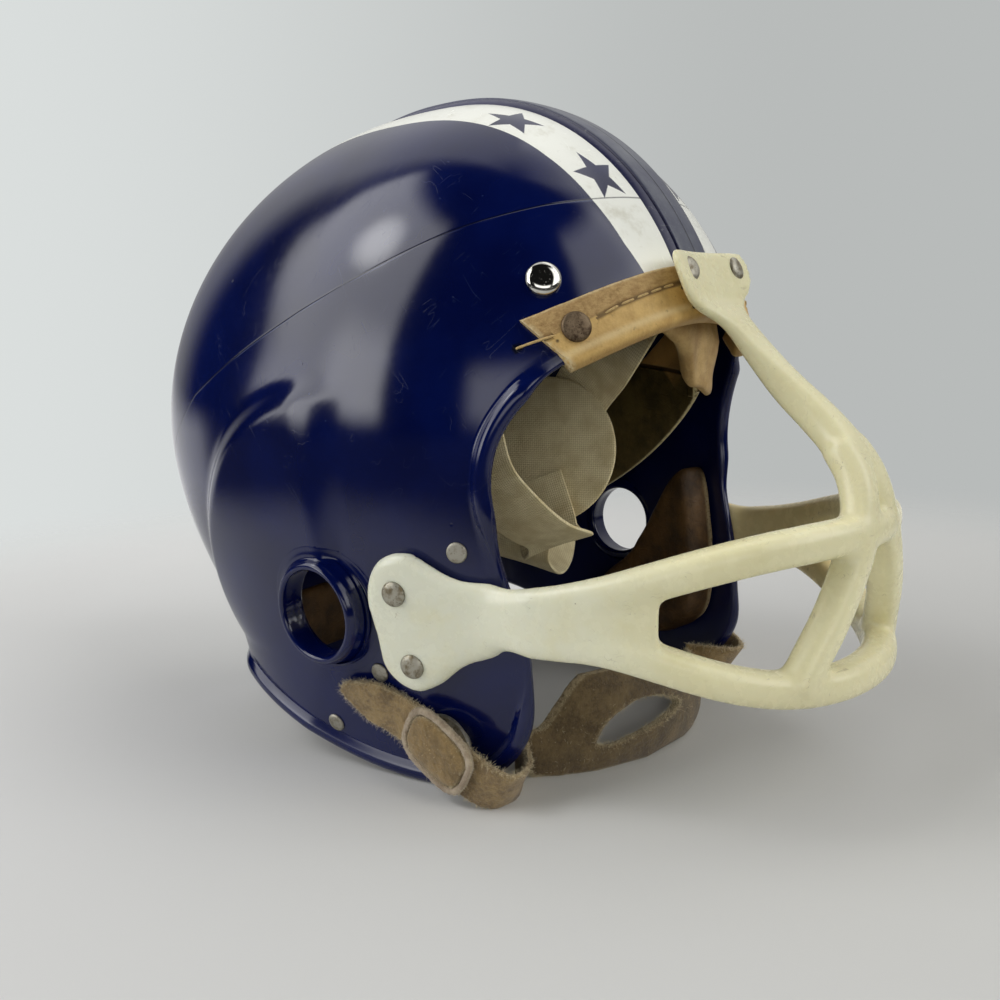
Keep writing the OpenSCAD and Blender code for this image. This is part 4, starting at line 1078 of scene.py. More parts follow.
# ------------------------------------------------------------------ metal
SCREW_R = 4.3
TOP_SPOTS = [brow_skin(x, 12.0, 1.1) for x in (-16.0, 12.0)]
SIDE_SPOTS = [side_point(-48.0, 73.0), side_point(-51.5, 48.5)]
RIVET_X = 55.0
RIVET_SPOT = brow_skin(RIVET_X, 8.0, 0.0)
SNAP_SPOT = on_shell([59.0, -85.0, 170.5])
LINER_SPOTS = [side_point(y, z) for y, z in [[-67.0, 86.0], [-33.0, 40.5], [-7.5, 16.0]]]


def head(r, h, at, way, foot, rise, flat=0.0):
    """Fastener head: a foot, a steep rim and a dome over it, whose radius falls as a
    power of the cosine while its height rises as the sine. The value rim marks a
    ring at its foot, where the finish paints shade."""
    t = np.linspace(0, 1, 14)
    turn = t * np.pi / 2
    dome = np.stack([r * np.cos(turn) ** (0.55 + flat), rise + h * np.sin(turn)], 1)
    dome[-1, 0] = 0.02
    profile = np.vstack([[[0.02, foot], [r * 0.97, foot], [r * 0.97, rise - 0.25]], dome])
    part = turned(profile, at, way)
    ring = np.clip(1 - np.abs(profile[:, 1] - rise) / 0.35, 0, 1) * (profile[:, 0] > 0.9 * r)
    part.fields["rim"] = np.concatenate([np.repeat(ring, HEAD_SIDES), [0, 0]])
    return part


TOP_FACE = TOP_LOW + TOP_T
for name, heads, material, node, slot in (
        ("guard_top_screw_heads",
         [head(SCREW_R, 1.7, s, out(s), TOP_FACE - 1.2, TOP_FACE) for s in TOP_SPOTS],
         STEEL, "guard_top_screws", "screw_steel"),
        ("guard_side_screw_heads",
         both([head(SCREW_R, 1.7, s, out(s), PLATE_TOP - 1.2, PLATE_TOP) for s in SIDE_SPOTS]),
         STEEL, "guard_side_screws", "screw_steel"),
        ("brow_rivet_heads",
         both([head(4.9, 1.3, RIVET_SPOT, out(RIVET_SPOT), BAND_TOP - 1.2, BAND_TOP + 0.1, -0.2)]),
         BRASS, "brow_rivets", "rivet_brass"),
        ("crown_snap_domes", both([head(5.75, 2.6, SNAP_SPOT, out(SNAP_SPOT), -1.0, 0.7)]),
         CHROME, "crown_snaps", "snap_chrome"),
        ("liner_rivet_heads",
         both([head(3.5, 0.9, s, out(s), -0.9, 0.1, -0.3) for s in LINER_SPOTS]),
         PALE_BRASS, "liner_rivets", "rivet_brass")):
    solid(name, heads, material, "helmet", [node], 50)


# ------------------------------------------------------------------ brow band
def stitch_up(x):
    """Height of the stitched line on the brow band, which dips round the rivet."""
    return 8.3 + 0.9 * ease((50 - np.abs(x)) / 10) - 0.3 * np.sin(x / 9)


BAND_END = 60


def brow_band():
    """Folded leather: up the outside, round the edge and up the inside, with torn
    slanted ends."""
    lie = -WALL - SOFT_GAP
    under = lie - BAND_T
    section = curve([[BAND_W, BAND_TOP - 0.5], [BAND_W - 0.5, BAND_TOP], [BAND_W * 0.75, BAND_TOP],
                     [BAND_W * 0.5, BAND_TOP], [4, BAND_TOP], [1, BAND_TOP + 0.1],
                     [-1.2, BAND_TOP - 0.2], [-2.9, BAND_TOP - 1.2], [-3.9, -WALL / 2],
                     [-2.9, under + 0.9], [1, under], [6.5, under], [6.5, lie], [0.4, lie],
                     [-1, lie + 0.8], [-1.4, -WALL / 2], [-1, -0.4], [0.4, SOFT_GAP],
                     [BAND_W * 0.5, SOFT_GAP], [BAND_W, SOFT_GAP]], 4, True)
    u = np.linspace(-1, 1, 190)[:, None]
    up, h = section[None, :, 0], section[None, :, 1]
    end = BAND_END + 6 * np.clip(up / 16, 0, 1) ** 0.8
    wide = 1 + 0.08 * np.abs(u) ** 3
    x = u * end
    up = np.where(up > 0, up * wide, up)
    p = brow_skin(x, up, h)
    rough = 0.22 * ripple(p, 9, 5) + 0.12 * ripple(p, 3, 6)
    p = p + rough[..., None] * out(p) * (h > 1)[..., None]
    cut = np.clip(1 - (1 - np.abs(u)) * BAND_END / 1.3, 0, 1)
    cut = cut + np.clip(1 - np.abs(up - BAND_W * wide) / 0.6, 0, 1)
    stitch = np.where(h > 0.5, np.abs(up - stitch_up(x)), 9.0)
    stitch = np.where(np.abs(np.abs(x) - RIVET_X) < 5.5, 9.0, stitch)
    return skin(p, {"up": np.where(h > -1, up, -4), "cut": np.clip(cut, 0, 1), "stitch": stitch})


solid("brow_band_leather", brow_band(), BROW_LEATHER, "helmet", ["brow_band"],
      60)


def thread(path, radius):
    """Round thread along a path, thinner at both ends."""
    path = np.asarray(path, float)
    t = np.linspace(0, 1, len(path))
    r = radius * (0.35 + 0.65 * ease(np.minimum(t, 1 - t) * 6))
    shape = rounded(1, 1, 6, 2)
    a, b = frame_of(unit(np.gradient(path, axis=0)))
    step = shape[:, :1] * a[:, None] + shape[:, 1:] * b[:, None]
    return skin(path[:, None] + step * r[:, None, None])


def stitches():
    """Stitches of 5 mm with gaps between, sunk a little at both ends, and the
    knotted thread that runs from the band's end to a hole in the shell."""
    parts = []
    for start in np.arange(-63.5, 60, 5.7):
        x = np.linspace(start, start + 4.9, 9)
        if np.any(np.abs(np.abs(x) - RIVET_X) < 5.2) or np.any(np.abs(x) < 17):
            continue
        t = np.linspace(-1, 1, 9)
        parts.append(thread(brow_skin(x, stitch_up(x), BAND_TOP + 0.22 - 0.45 * t * t), 0.42))
    for side in (-1, 1):
        knot = brow_skin(side * 63.3, 8.6, BAND_TOP + 0.3)
        hole = THREAD_HOLE * [-side, 1, 1]
        path = [brow_skin(side * 60.5, 8.2, BAND_TOP + 0.2), knot,
                mixed(knot, hole, 0.5) + out(hole) * 0.5, hole + out(hole) * 0.1, hole - out(hole)]
        parts.append(thread(curve(path, 6), 0.4))
    return parts


solid("brow_stitches", stitches(), THREAD, "helmet", ())


# ------------------------------------------------------------------ liner
PAD_HALF, PAD_RISE, PAD_THICK, FOLD_ROOM, RIVET_ROOM = 40, 22, 8.5, 3, 1.2


def brow_pad():
    """Padded roll inside the brow: a rounded oblong section that follows the brow's
    edge, drawn in at its ends and at a seam near each, and hanging lower and leaning
    inwards towards the left."""
    x = np.linspace(-PAD_HALF, PAD_HALF, 110)
    depth = WALL + FOLD_ROOM + RIVET_ROOM + SOFT_GAP + PAD_THICK / 2
    swell_in = np.sqrt(np.maximum(1 - (0.93 * np.abs(x) / PAD_HALF) ** 8, 0))
    pinch = 1 - 0.04 * np.exp(-(((np.abs(x) - 27) / 2.0) ** 2))
    a = rounded(1, 1, 44, 2.6)
    thick = PAD_THICK / 2 * (mixed(0.6, 1, swell_in) * pinch)[:, None] * a[:, 0]
    hang = mixed(3, PAD_RISE, ease((x + 16) / 36))[:, None]
    rise = a[:, 1] * (PAD_RISE + hang) / 2
    lean = (2 + 5 * ease(-rise / 18)) * ease((x + 4) / 22)[:, None]
    e = brow_skin(x, 0.0, 0.0)
    p = e[:, None] + ((PAD_RISE - hang) / 2 + rise)[..., None] * brow_up(x)[:, None] \
        - (depth + lean + thick)[..., None] * out(e)[:, None]
    rough = 0.35 * ripple(p, 14, 21) + 0.15 * ripple(p, 5, 22)
    p = p + rough[..., None] * unit(p - p.mean(1, keepdims=True))
    return skin(p, {"seam": 9.0, "cut": 0.0})


pad = solid("brow_pad_roll", brow_pad(), PAD_LEATHER, "helmet", ["brow_pad"])


HEADBAND_HALF, HEADBAND_T = 17, 2.6
HEADBAND_SIDE, HEADBAND_AHEAD, HEADBAND_BEHIND = 66, 106, 92


def headband():
    """Leather band round the head, by angle from the front: |x/w|^3 + |y/l|^3 = 1,
    with a lower edge that climbs to the brow. It stops short of the front on the
    wearer's right, and its front is tan above a sewn line."""
    a = np.radians(np.linspace(38, 300, 260))
    s, c = np.sin(a), np.cos(a)
    f = (np.abs(s) ** 3 + np.abs(c) ** 3) ** (-1 / 3)
    y = 12 - np.where(c > 0, HEADBAND_AHEAD, HEADBAND_BEHIND) * c * f
    z = 66 + 60 * np.clip((20 - y) / 95, 0, 1) ** 1.5 + HEADBAND_HALF
    path = points(HEADBAND_SIDE * s * f, y, z)
    path[:, 2] += 0.5 * ripple(path, 40, 31)
    section = rounded(HEADBAND_HALF, HEADBAND_T / 2, 60, 6)
    section[:, 1] += 0.5 * (1 - (section[:, 0] / HEADBAND_HALF) ** 2)
    cut = np.clip(1 - np.abs(np.abs(section[:, 0]) - HEADBAND_HALF) / 0.5, 0, 1)
    part = sweep(path, [0, 0, 1.0], section, {"cut": cut})
    line = part.p[:, 2] - 134 - 0.1 * (part.p[:, 1] + 87)
    front = part.p[:, 1] < -25
    part.fields["seam"] = np.where(front, line, 9.0)
    part.fields["upper"] = ease(line / 1.2 + 0.5) * front
    return part


solid("headband_leather_strip", headband(), BAND_LEATHER, "helmet", ["headband"])

DISC_AT = np.array([-2.0, -41.0, 108.0])
DISC_FACING = unit([-0.94, -0.28, 0.18])
DISC_RIGHT = unit(np.cross([0, 0, 1.0], DISC_FACING))
DISC_UP = np.cross(DISC_FACING, DISC_RIGHT)
CANVAS_T, STRAP_W, DISC_R, TAPE_STEPS = 1.8, 25.0, 29.0, 90


def crown_disc():
    """Round canvas patch: polar rings over both faces and a rolled rim, rippled."""
    r = np.concatenate([np.linspace(0.3, DISC_R - 0.6, 26), DISC_R - np.array([0.2, 0, 0.2, 0.6]),
                        np.linspace(DISC_R - 2, 0.3, 24)])
    h = np.concatenate([np.full(26, 0.75), [0.55, 0.0, -0.55, -0.75], np.full(24, -0.75)])
    t = angles(96)
    u, v = r[:, None] * np.cos(t), r[:, None] * np.sin(t)
    p = DISC_AT + u[..., None] * DISC_RIGHT + v[..., None] * DISC_UP
    lift = h[:, None] + 0.10 * ripple(p, 22, 41)
    return skin(p + lift[..., None] * DISC_FACING, {"across": u, "along": v})


disc = solid("crown_disc_canvas", crown_disc(), CANVAS, "helmet", ["crown_disc"])


def on_disc(u, v, face):
    return DISC_AT + u * DISC_RIGHT + v * DISC_UP + face * (CANVAS_T + 0.1) * DISC_FACING


def cradle_strap(start, end, face, onward, last_broad, seed):
    """Canvas tape that lies on the disc and runs onward through softened corners, with
    its edges waving. Also gives its length."""
    start, end = np.array(start, float), np.array(end, float)
    path = softened([on_disc(*q, face) for q in (start, (start + end) / 2, end, 1.22 * end)]
                    + list(onward))
    flat = unit(np.cross(DISC_FACING, on_disc(*end, face) - on_disc(*start, face)))
    share = ease((np.linspace(0, 1, len(path)) - 0.45) / 0.5)[:, None]
    path, broad = spaced(path, TAPE_STEPS, mixed(flat, np.asarray(last_broad, float), share))
    path, broad = calmed(path, 6), calmed(broad, 6)
    shape = rounded(STRAP_W / 2, CANVAS_T / 2 - 0.05, 48, 6)
    section = np.broadcast_to(shape, (TAPE_STEPS, 48, 2)).copy()
    edge = np.clip(np.abs(shape[:, 0]) / (STRAP_W / 2), 0, 1)
    step = np.arange(TAPE_STEPS)[:, None]
    wave = np.sin(step / TAPE_STEPS * 19 + seed) * ease(step / 30 - 0.8)
    section[..., 1] += 0.25 * wave * edge**2
    return sweep(path, broad, section), lengths(path)[-1]


SNAP_INSIDE = SNAP_SPOT - (WALL + RIVET_ROOM + CANVAS_T / 2) * out(SNAP_SPOT)
straps = {
    "cradle_strap_front": ([2, 4], [13, 22], -1, [0.81, 0.59, 0],
                           [[4, -69, 146], [16, -77, 161], [36, -80, 174], SNAP_INSIDE]),
    "cradle_strap_side": ([-4, -12], [3, -30], 1, [0.3, -0.95, 0],
                          [[-20, -64, 77], [-42, -64, 86], [-56, -54, 104], [-58, -51, 120]]),
    "cradle_strap_rear": ([-4, -6], [-8, -31], -1, [0, -0.2, -1],
                          [[-8, -31, 66], [4, -29, 58], [24, -22, 62], [46, -12, 80],
                           [63, 0, 88], [63.1, 12, 88]]),
}
for seed, (node, (start, end, face, broad, onward)) in enumerate(straps.items()):
    part, length = cradle_strap(start, end, face, onward, broad, seed)
    tape = solid(node + "_tape", part, CANVAS, "helmet", [node], 60)

JAW = [[-68, 92], [-58, 86], [-46, 68], [-34, 50], [-20, 36], [-3, 20], [-4, 11],
       [-24, 12], [-48, 14], [-66, 22], [-75, 34], [-76, 55], [-73, 78]]


JAW_THICK = 14


def jaw_pad():
    """Pad inside the cheek: the outline's rings swell from the wall to a rounded
    crown and close on its middle."""
    low = -WALL - 3 * SOFT_GAP
    high = low - JAW_THICK
    rings = [[0.02, low], [0.35, low], [0.7, low], [0.95, low], [1.0, mixed(low, high, 0.12)],
             [1.0, mixed(low, high, 0.5)], [0.985, mixed(low, high, 0.72)],
             [0.93, mixed(low, high, 0.9)], [0.8, high + 0.2], [0.6, high], [0.35, high],
             [0.02, high]]
    part = side_patch(JAW, np.array([-50.0, 44.0]), rings, 9)
    p = part.p
    face = side_point(p[:, 1], p[:, 2])
    deep = np.linalg.norm(p - face, axis=1)
    part.fields["cut"] = ease((8 - deep) / 3) * ease((-66 - p[:, 1]) / 4)
    part.p = p + (0.3 * ripple(p, 12, 51))[:, None] * unit(p - p.mean(0))
    return part


jaw = jaw_pad()
for node, part in (("jaw_pad_left", jaw), ("jaw_pad_right", jaw.mirrored())):
    piece = solid(node + "_cushion", part, JAW_LEATHER, "helmet", [node])


NAPE_HALF, NAPE_LEVEL, NAPE_THICK, NAPE_RISE = 44, 24.0, 8, 30


def nape_pad():
    """Rounded oblong pad across the nape, inside the wall, drawn in at its ends."""
    x = np.linspace(-NAPE_HALF, NAPE_HALF, 70)
    p = rear_point(x, NAPE_LEVEL)
    o = out(p)
    section = rounded(1, 1, 36, 3)
    t = np.sqrt(np.maximum(1 - (0.97 * np.abs(x) / NAPE_HALF) ** 10, 0))[:, None]
    deep = NAPE_THICK / 2 * t * section[:, 0]
    rise = NAPE_RISE / 2 * mixed(0.75, 1, t) * section[:, 1]
    middle = p - (WALL + 2 * SOFT_GAP + NAPE_THICK / 2) * o
    rings = middle[:, None] + deep[..., None] * o[:, None] \
        + rise[..., None] * [0, 0, 1.0]
    return skin(rings + (0.25 * ripple(rings, 10, 61))[..., None] * o[:, None])


pad = solid("nape_pad_cushion", nape_pad(), JAW_LEATHER, "helmet", ["nape_pad"])

# ------------------------------------------------------------------ chin strap
SNAP_Y, SNAP_Z = -58.5, 18.5
SUEDE_T, SUEDE_W = 2.0, 17.0
SNAP_FACE = float(side_x(SNAP_Y + 15.0, SNAP_Z + 6.0)) + 1.2
STRAP_MID = SNAP_FACE + SUEDE_T / 2 + 0.2
STRAP_OUT = STRAP_MID + SUEDE_T / 2 + 0.1
CUP_FOOT = FLOOR_Z + 0.3
CUP_HALF, CUP_RISE, CUP_PEAK, CUP_PULL = 57, 35.5, -13, 18
CUP_COUNT, STRAP_COUNT, STRAP_SIDES = 420, 150, 56


def roughened(part, way, *waves):
    """The form pushed along a way by ripples, each given by its height, size and seed."""
    push = sum(h * ripple(part.p, size, seed) for h, size, seed in waves)
    part.p = part.p + push[:, None] * way
    return part


def cup_y(x):
    return -95 + 0.0075 * x * x


def chin_strap():
    """Suede strap on the left, from its pointed tongue through the keeper and under
    the jaw to the cup's end."""
    end = 58.9
    path = softened([
        [side_x(-19.0, 34.0) + 3.4, -19, 34], [side_x(-32.0, 29.0) + 2.8, -31, 29.4],
        [STRAP_MID, -40, 25.9], [STRAP_MID, SNAP_Y, SNAP_Z], [STRAP_MID, -72, 11],
        [82.5, -80.5, 7.2], [75, -82.5, 7.2], [66, -77.5, 8],
        [end, cup_y(end), SUEDE_W / 2 + CUP_FOOT]])
    broad = softened([[0.2, -0.38, 0.92], [0.15, -0.38, 0.92], [0, -0.38, 0.92], [0, -0.38, 0.92],
                      [0, -0.5, 0.86], [0, -0.6, 0.8], [0, -0.55, 0.84], [0, -0.25, 0.97],
                      [0, 0, 1.0]])
    path, broad = spaced(path, STRAP_COUNT, broad)
    path, broad = calmed(path, 5), calmed(broad, 5)
    s = lengths(path)
    tip = np.clip(0.12 + 0.9 * (s / 13) ** 0.62, 0, 1)
    section = rounded(1, 1, STRAP_SIDES, 7)
    w = (SUEDE_W / 2 * tip * (1 + 0.02 * np.sin(s / 7)))[:, None] + 0 * section[:, 0]
    shape = np.stack([w * section[:, 0], SUEDE_T / 2 * section[:, 1] + 0 * w], -1)
    part = sweep(path, broad, shape)
    edge = np.clip(1 - (w - np.abs(shape[..., 0])) / 1.0, 0, 1)
    part.fields["cut"] = np.concatenate([edge.ravel(), [1, 1]])
    middle = np.vstack([np.repeat(path, STRAP_SIDES, 0), path[:1], path[-1:]])
    return roughened(part, unit(part.p - middle), (0.28, 3.2, 71), (0.22, 1.5, 72))


def cup_face(u, v, deep):
    """Point of the cup by span, share up from -1 to 1 and place in its thickness.
    Its middle lies pulled towards the wearer's right, as x = u - 18 (1 - (u/57)^2), and
    its height falls from a peak there to the strap's width at both ends."""
    wide = np.where(u < CUP_PEAK, 30, 50)
    h = mixed(CUP_RISE, SUEDE_W, ease((np.abs(u - CUP_PEAK) - 4) / wide)) / 2
    x = u - CUP_PULL * (1 - (u / CUP_HALF) ** 2)
    side = unit(points(0.009 * x, -1, 0))
    inside = CUP_HALF - np.abs(u)
    push = deep + 3.4 * (1 - v * v) * ease(inside / 16)
    base = points(x, cup_y(x), h + CUP_FOOT)
    shift = points(-side[..., 0], side[..., 1], 0)
    climb = points(0, 0.16 * ease(inside / 20), 1)
    return base + push[..., None] * shift + (v * h)[..., None] * climb


def cup_rings(t):
    """Rings from the slot's edge at 0 out to the cup's outline at 1, in span and share:
    an oval that grows square as it widens. The slot lies aslant."""
    a = angles(CUP_COUNT)
    c, s = np.cos(a), np.sin(a)
    slot_x, slot_v = 21 * powered(c, 0.9) - 4, 0.35 * powered(s, 1.05)
    t = np.asarray(t, float)[:, None]
    return (mixed(slot_x, CUP_HALF * powered(c, 2 / 9), t),
            mixed(slot_v + 0.014 * slot_x, powered(s, 2 / 9), t))


def cup_part():
    """The front face's rings go out from the slot, turn round the outline, come
    back over the rear face and close through the slot's wall."""
    go = np.linspace(0, 1, 30) ** 1.15
    turn = np.array([0.9, 0, -0.9])[:, None]
    x, v = cup_rings(go)
    front = cup_face(x, v, np.full_like(x, 1.5))
    back = cup_face(x[::-1], v[::-1], np.full_like(x, -1.5))
    rim_x, rim_v = cup_rings([1.0] * 3)
    rim = cup_face(rim_x * 1.004, rim_v * 1.03, turn + 0 * rim_x)
    lip_x, lip_v = cup_rings([0.0] * 3)
    lip = cup_face(lip_x * 0.985, lip_v * 0.97, 0 * lip_x - turn)
    t = np.concatenate([go, [1, 1, 1], go[::-1], [0, 0, 0]])
    cut = np.clip(1 - np.minimum(t, 1 - t) / 0.05, 0, 1)
    part = skin(np.concatenate([front, rim, back, lip]), {"cut": cut[:, None]}, True)
    edge = np.repeat(np.clip(0.3 + cut, 0, 1), CUP_COUNT)[:, None]
    way = edge * unit((part.p - part.p.mean(0)) * [1, 0.4, 1])
    return roughened(part, way, (0.3, 4, 81), (0.24, 1.6, 82))


KEEP_LONG = np.array([0, 0.88, 0.475])
KEEP_ACROSS = np.array([0, -0.475, 0.88])


def on_keeper(u, v, h):
    return points(STRAP_OUT, SNAP_Y, SNAP_Z) + u[..., None] * KEEP_LONG \
        + v[..., None] * KEEP_ACROSS + h[..., None] * [1.0, 0, 0]


def oblong(length, height, count):
    return rounded(length / 2, height / 2, count, 3.1)


def keeper_ring():
    """Rounded leather ring round the cap: an oblong loop that carries a soft section
    2.4 mm thick."""
    around, inside = oblong(30.5, 22.5, 200), oblong(26, 18, 200)
    s = rounded(0.5, 1.2, 20, 3)[:, None]
    q = mixed(inside, around, 0.5) + s[..., :1] * (around - inside)
    rings = np.swapaxes(on_keeper(q[..., 0], q[..., 1], s[..., 1] + 1.2 + 0 * q[..., 0]), 0, 1)
    part = skin(rings, {"cut": (np.abs(s[:, 0, 0]) > 0.4) * 0.6}, True)
    return roughened(part, unit(part.p - part.p.mean(0)), (0.16, 2.2, 91), (0.1, 1, 92))


def cap_island():
    """Suede covered cap that fills the ring, domed like 1 - r^4."""
    rise = np.linspace(0.02, 0.9, 14)
    t = np.concatenate([rise, [0.96, 0.99, 1.0, 1.0, 0.99], np.linspace(0.8, 0.02, 5)])[:, None]
    h = np.concatenate([3.6 - 1.3 * rise**4, [2.5, 2.0, 1.4, 0.6, 0.0], np.zeros(5)])[:, None]
    q = t[..., None] * oblong(25.4, 17.4, 160)
    part = skin(on_keeper(q[..., 0], q[..., 1], h + 0 * q[..., 0]),
                {"cut": np.clip((t - 0.93) / 0.07, 0, 1) * (h > 1)})
    return roughened(part, [1, 0, 0], (0.12, 3, 95), (0.08, 1.1, 96))


FIBRE_R = 0.042 * np.array([1.0, 0.8, 0.5])


def fibres(part, count, length, seed):
    """Loose fibres: bent spikes of three sides that grow from points of a form,
    mostly from its cut edges."""
    rng = np.random.default_rng(seed)
    weight = part.fields["cut"] + 0.02
    pick = rng.choice(len(part.p), count, p=weight / weight.sum())
    root = part.p[pick] + rng.normal(0, 0.25, (count, 3))
    centre = part.p[np.clip(pick + rng.integers(-4, 4, count), 0, len(part.p) - 1)]
    normal = part_normals(part)[pick]
    way = unit(normal + rng.normal(0, 0.55, (count, 3)) + 0.2 * unit(root - centre))
    bend = unit(rng.normal(0, 1, (count, 3)))
    l = length * rng.uniform(0.35, 1.15, count)[:, None]
    a, b = frame_of(way)
    t = np.array([-0.2, 0.35, 0.7])
    mid = root[:, None] + way[:, None] * (l * t)[..., None] \
        + bend[:, None] * (0.45 * l * t**2)[..., None]
    rings = mid[:, :, None] + circle(a[:, None], b[:, None], 3)[:, None] * FIBRE_R[:, None, None]
    tip = root + way * l + bend * (0.45 * l)
    p = np.concatenate([rings.reshape(count, 9, 3), tip[:, None]], 1).reshape(-1, 3)
    start = (np.arange(count) * 10)[:, None]
    quads = np.vstack([start + [j + i, j + (i + 1) % 3, j + 3 + (i + 1) % 3, j + 3 + i]
                       for j in (0, 3) for i in range(3)])
    tris = np.vstack([start + [6 + i, 6 + (i + 1) % 3, 9] for i in range(3)]
                     + [start + [2, 1, 0]])
    return Part(p, quads, tris)


def part_normals(part):
    """Mean of the face directions round each point."""
    q = np.vstack([part.quads, np.hstack([part.tris, part.tris[:, :1]])])
    a, b, c, d = (part.p[q[:, k]] for k in range(4))
    n = np.cross(c - a, d - b)
    total = np.zeros_like(part.p)
    for k in range(4):
        np.add.at(total, q[:, k], n)
    return unit(total)


strap, ring, cap, cup = chin_strap(), keeper_ring(), cap_island(), cup_part()
fluff = [fibres(strap, 3000, 1.5, 7), fibres(ring, 800, 0.8, 8), fibres(cap, 500, 0.7, 9)]
for side in ("left", "right"):
    if side == "right":
        strap, ring, cap, *fluff = (q.mirrored() for q in (strap, ring, cap, *fluff))
    solid("chin_strap_" + side + "_suede", strap, SUEDE, "chin_strap", ["chin_strap_" + side])
    solid("strap_keeper_" + side + "_ring", ring, SUEDE_RING, "chin_strap",
          ["strap_keeper_" + side])
    solid("snap_cap_" + side + "_suede", cap, SUEDE_CAP, "chin_strap", ["snap_cap_" + side])
    solid("chin_strap_" + side + "_fibres", fluff, FIBRE, "chin_strap", ())
solid("chin_cup_suede", cup, SUEDE_CUP, "chin_strap", ["chin_cup"])
solid("chin_cup_fibres", fibres(cup, 3800, 1.5, 10), FIBRE, "chin_strap", ())

# Solids that keep their own shape get one of the finishes above
for node, material in (("guard_nuts", STEEL), ("jaw_snap_left", PALE_BRASS),
                       ("jaw_snap_right", PALE_BRASS)):
    for holder in frame["nodes"][node].material_slots:
        holder.material = material


# ------------------------------------------------------------------ floor, light and camera
FLOOR_REACH, FLOOR_SIDES = 2200.0, 96


def floor():
    """Round floor that clears into the backdrop far from the object. Its colour runs
    across the picture from a lighter left to a darker right: painted light that falls off to the
    right."""
    f = Finish("pale_floor", IOR=1.3)
    r = (f.x * f.x + f.y * f.y) ** 0.5
    # Painted light: the floor's colour is lighter on the left of the picture and darker on the
    # right
    across = (f.x * right[0] + f.y * right[1]) * (1 / 460) + 0.5
    base = f.blend(tone(221, 221, 219), tone(201, 201, 198), across.least(1.0).most(0.0))
    f.set(Base_Color=f.shade(base, 0.985 + f.noise(160, 3) * 0.03), Roughness=0.75,
          Specular_IOR_Level=0.2)
    clear = f.add("ShaderNodeBsdfTransparent")
    mix = f.add("ShaderNodeMixShader", {}, {0: r.step(330, 640), 1: f.shader.outputs[0],
                                            2: clear.outputs[0]})
    f.feed(f.end, {0: mix.outputs[0]})
    reach = np.concatenate([[0.4], np.linspace(50, FLOOR_REACH, 40)])[:, None]
    t = angles(FLOOR_SIDES)
    rings = points(reach * np.cos(t), reach * np.sin(t), FLOOR_Z)
    faces = grid_faces(len(rings), FLOOR_SIDES, False)[:, ::-1].tolist()
    mesh = bpy.data.meshes.new("floor")
    mesh.from_pydata(((rings.reshape(-1, 3) + SHIFT) * MM).tolist(), [],
                     faces + [list(range(FLOOR_SIDES))[::-1]])
    mesh.materials.append(f.material)
    piece = bpy.data.objects.new("floor", mesh)
    bpy.context.collection.objects.link(piece)


VIEW_AZIMUTH, VIEW_ELEVATION, VIEW_ROLL = -50.28, 9.90, -1.77
EYE_AT = (-0.315, -0.26225, 0.1569)


def heading(azimuth, elevation):
    """Direction by degrees round from -Y towards +X, and up from the floor."""
    a, e = math.radians(azimuth), math.radians(elevation)
    return np.array([math.sin(a) * math.cos(e), -math.cos(a) * math.cos(e), math.sin(e)])


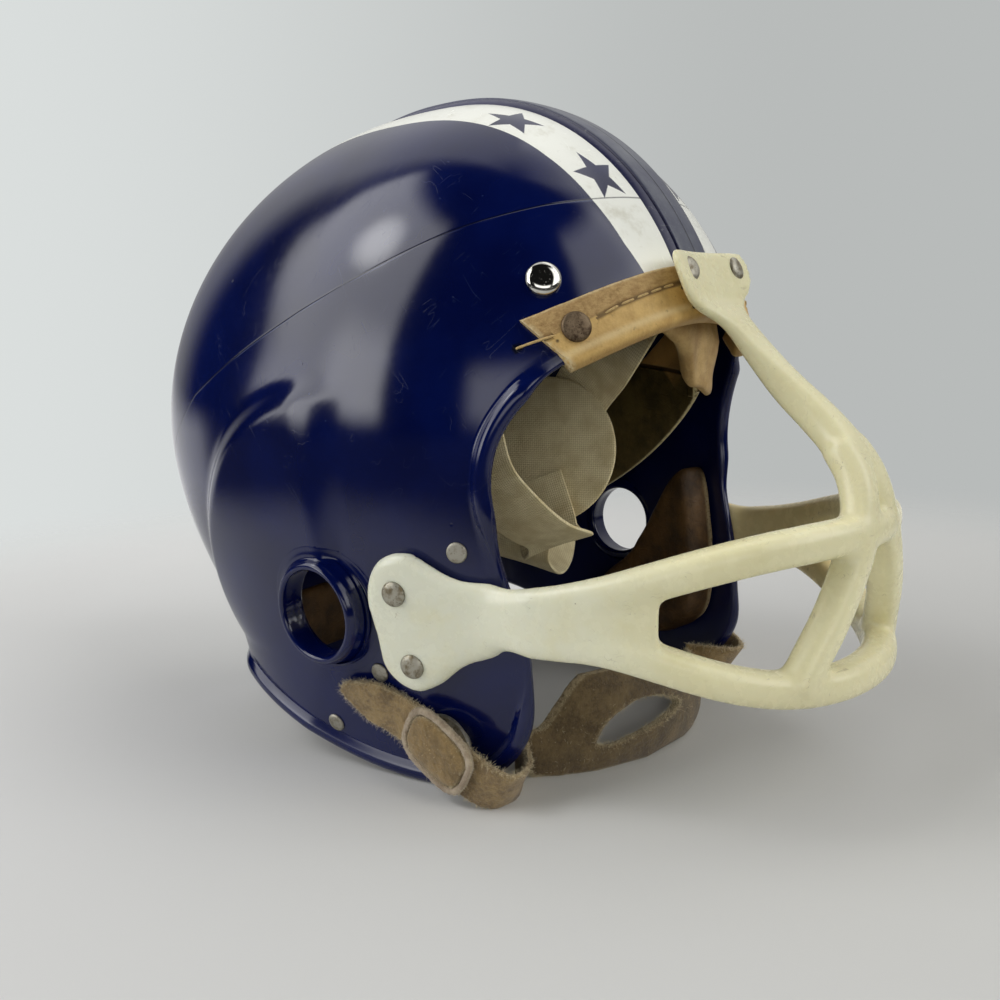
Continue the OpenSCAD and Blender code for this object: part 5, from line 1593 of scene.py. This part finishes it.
def world():
    """Backdrop colours by direction for the camera. Everything else is lit by panels
    of light with soft edges, each given by its span of azimuth and elevation, in a
    room that is dim behind the camera and paler beyond the object. The key panel has a
    sloping left edge, a brighter band in it and a hot spot."""
    w = bpy.data.worlds.new("studio")
    bpy.context.scene.world = w
    f = Graph(w)
    spot = f.add("ShaderNodeTexCoord").outputs["Generated"]
    x, y, rise = f.axes(spot)
    degrees = 180 / math.pi
    high = rise.arcsine() * degrees

    def towards(azimuth, elevation):
        way = tuple(heading(azimuth, elevation))
        return f.signal(f.vectors("DOT_PRODUCT", spot, way), "Value")

    def bearing(middle):
        """Degrees of azimuth past a middle one."""
        a = math.radians(middle)
        fore = x * math.sin(a) - y * math.cos(a)
        return (x * math.cos(a) + y * math.sin(a)).arctan2(fore) * degrees

    def panel(middle, half, low, top, soft):
        """Panel round an azimuth, whose edges fade over soft degrees."""
        return abs(bearing(middle)).step(half + soft, half - soft) \
            * high.step(low - soft, low + soft) * high.step(top + soft, top - soft)

    turn = bearing(219)
    left_edge = high.step(50, 14) * 25 - 32
    key = (turn - left_edge).step(-3, 3) * turn.step(34, 28) * high.step(0, 8) * high.step(65, 57)
    key = key * (2.7 + turn.step(4, 14) * high.step(34, 20) * 1.8)
    hot_spot = towards(220, 47).step(0.987, 1.0) * 5.0
    front = panel(14, 26, 12, 60, 5) * (1.8 + high.step(42, 30) * 1.0)
    far_side = panel(312, 26, 4, 20, 5) * 2.0
    room = panel(105, 74, -30, 84, 9) * (0.35 + rise.step(0.2, 0.75) * 0.5) \
        + panel(80, 38, 57, 72, 6) * 0.7 + 0.01
    ground = 0.06 + panel(140, 54, -91, 90, 6) * 0.85
    room = room * rise.step(-0.08, 0.04) + rise.step(0.04, -0.08) * ground
    left = towards(VIEW_AZIMUTH - 90, 0)
    sky = f.blend(tone(184, 187, 186), tone(219, 223, 222), left.step(-0.3, 0.5))
    seen = f.add("ShaderNodeBackground", {}, {0: sky, 1: 1.0})
    lit = f.add("ShaderNodeBackground", {}, {0: (1.0, 1.0, 1.0, 1.0),
                                             1: key + hot_spot + front + far_side + room})
    direct = f.add("ShaderNodeLightPath").outputs["Is Camera Ray"]
    mix = f.add("ShaderNodeMixShader", {}, {0: direct, 1: lit.outputs[0], 2: seen.outputs[0]})
    f.add("ShaderNodeOutputWorld", {}, {0: mix.outputs[0]})


world()

camera = bpy.data.cameras.new("camera")
camera.sensor_width, camera.lens = 36.0, 36.144
camera.clip_start = 0.01
eye = bpy.data.objects.new("camera", camera)
away = heading(VIEW_AZIMUTH, VIEW_ELEVATION)
right = unit(np.cross(-away, [0, 0, 1.0]))
above = np.cross(right, -away)
roll = math.radians(VIEW_ROLL)
turn = np.eye(4)
turn[:3, 0] = right * math.cos(roll) + above * math.sin(roll)
turn[:3, 1] = -right * math.sin(roll) + above * math.cos(roll)
turn[:3, 2] = away
turn[:3, 3] = EYE_AT
eye.matrix_world = Matrix(turn.tolist())
bpy.context.collection.objects.link(eye)
bpy.context.scene.camera = eye
floor()
bpy.context.scene.view_settings.view_transform = "Standard"
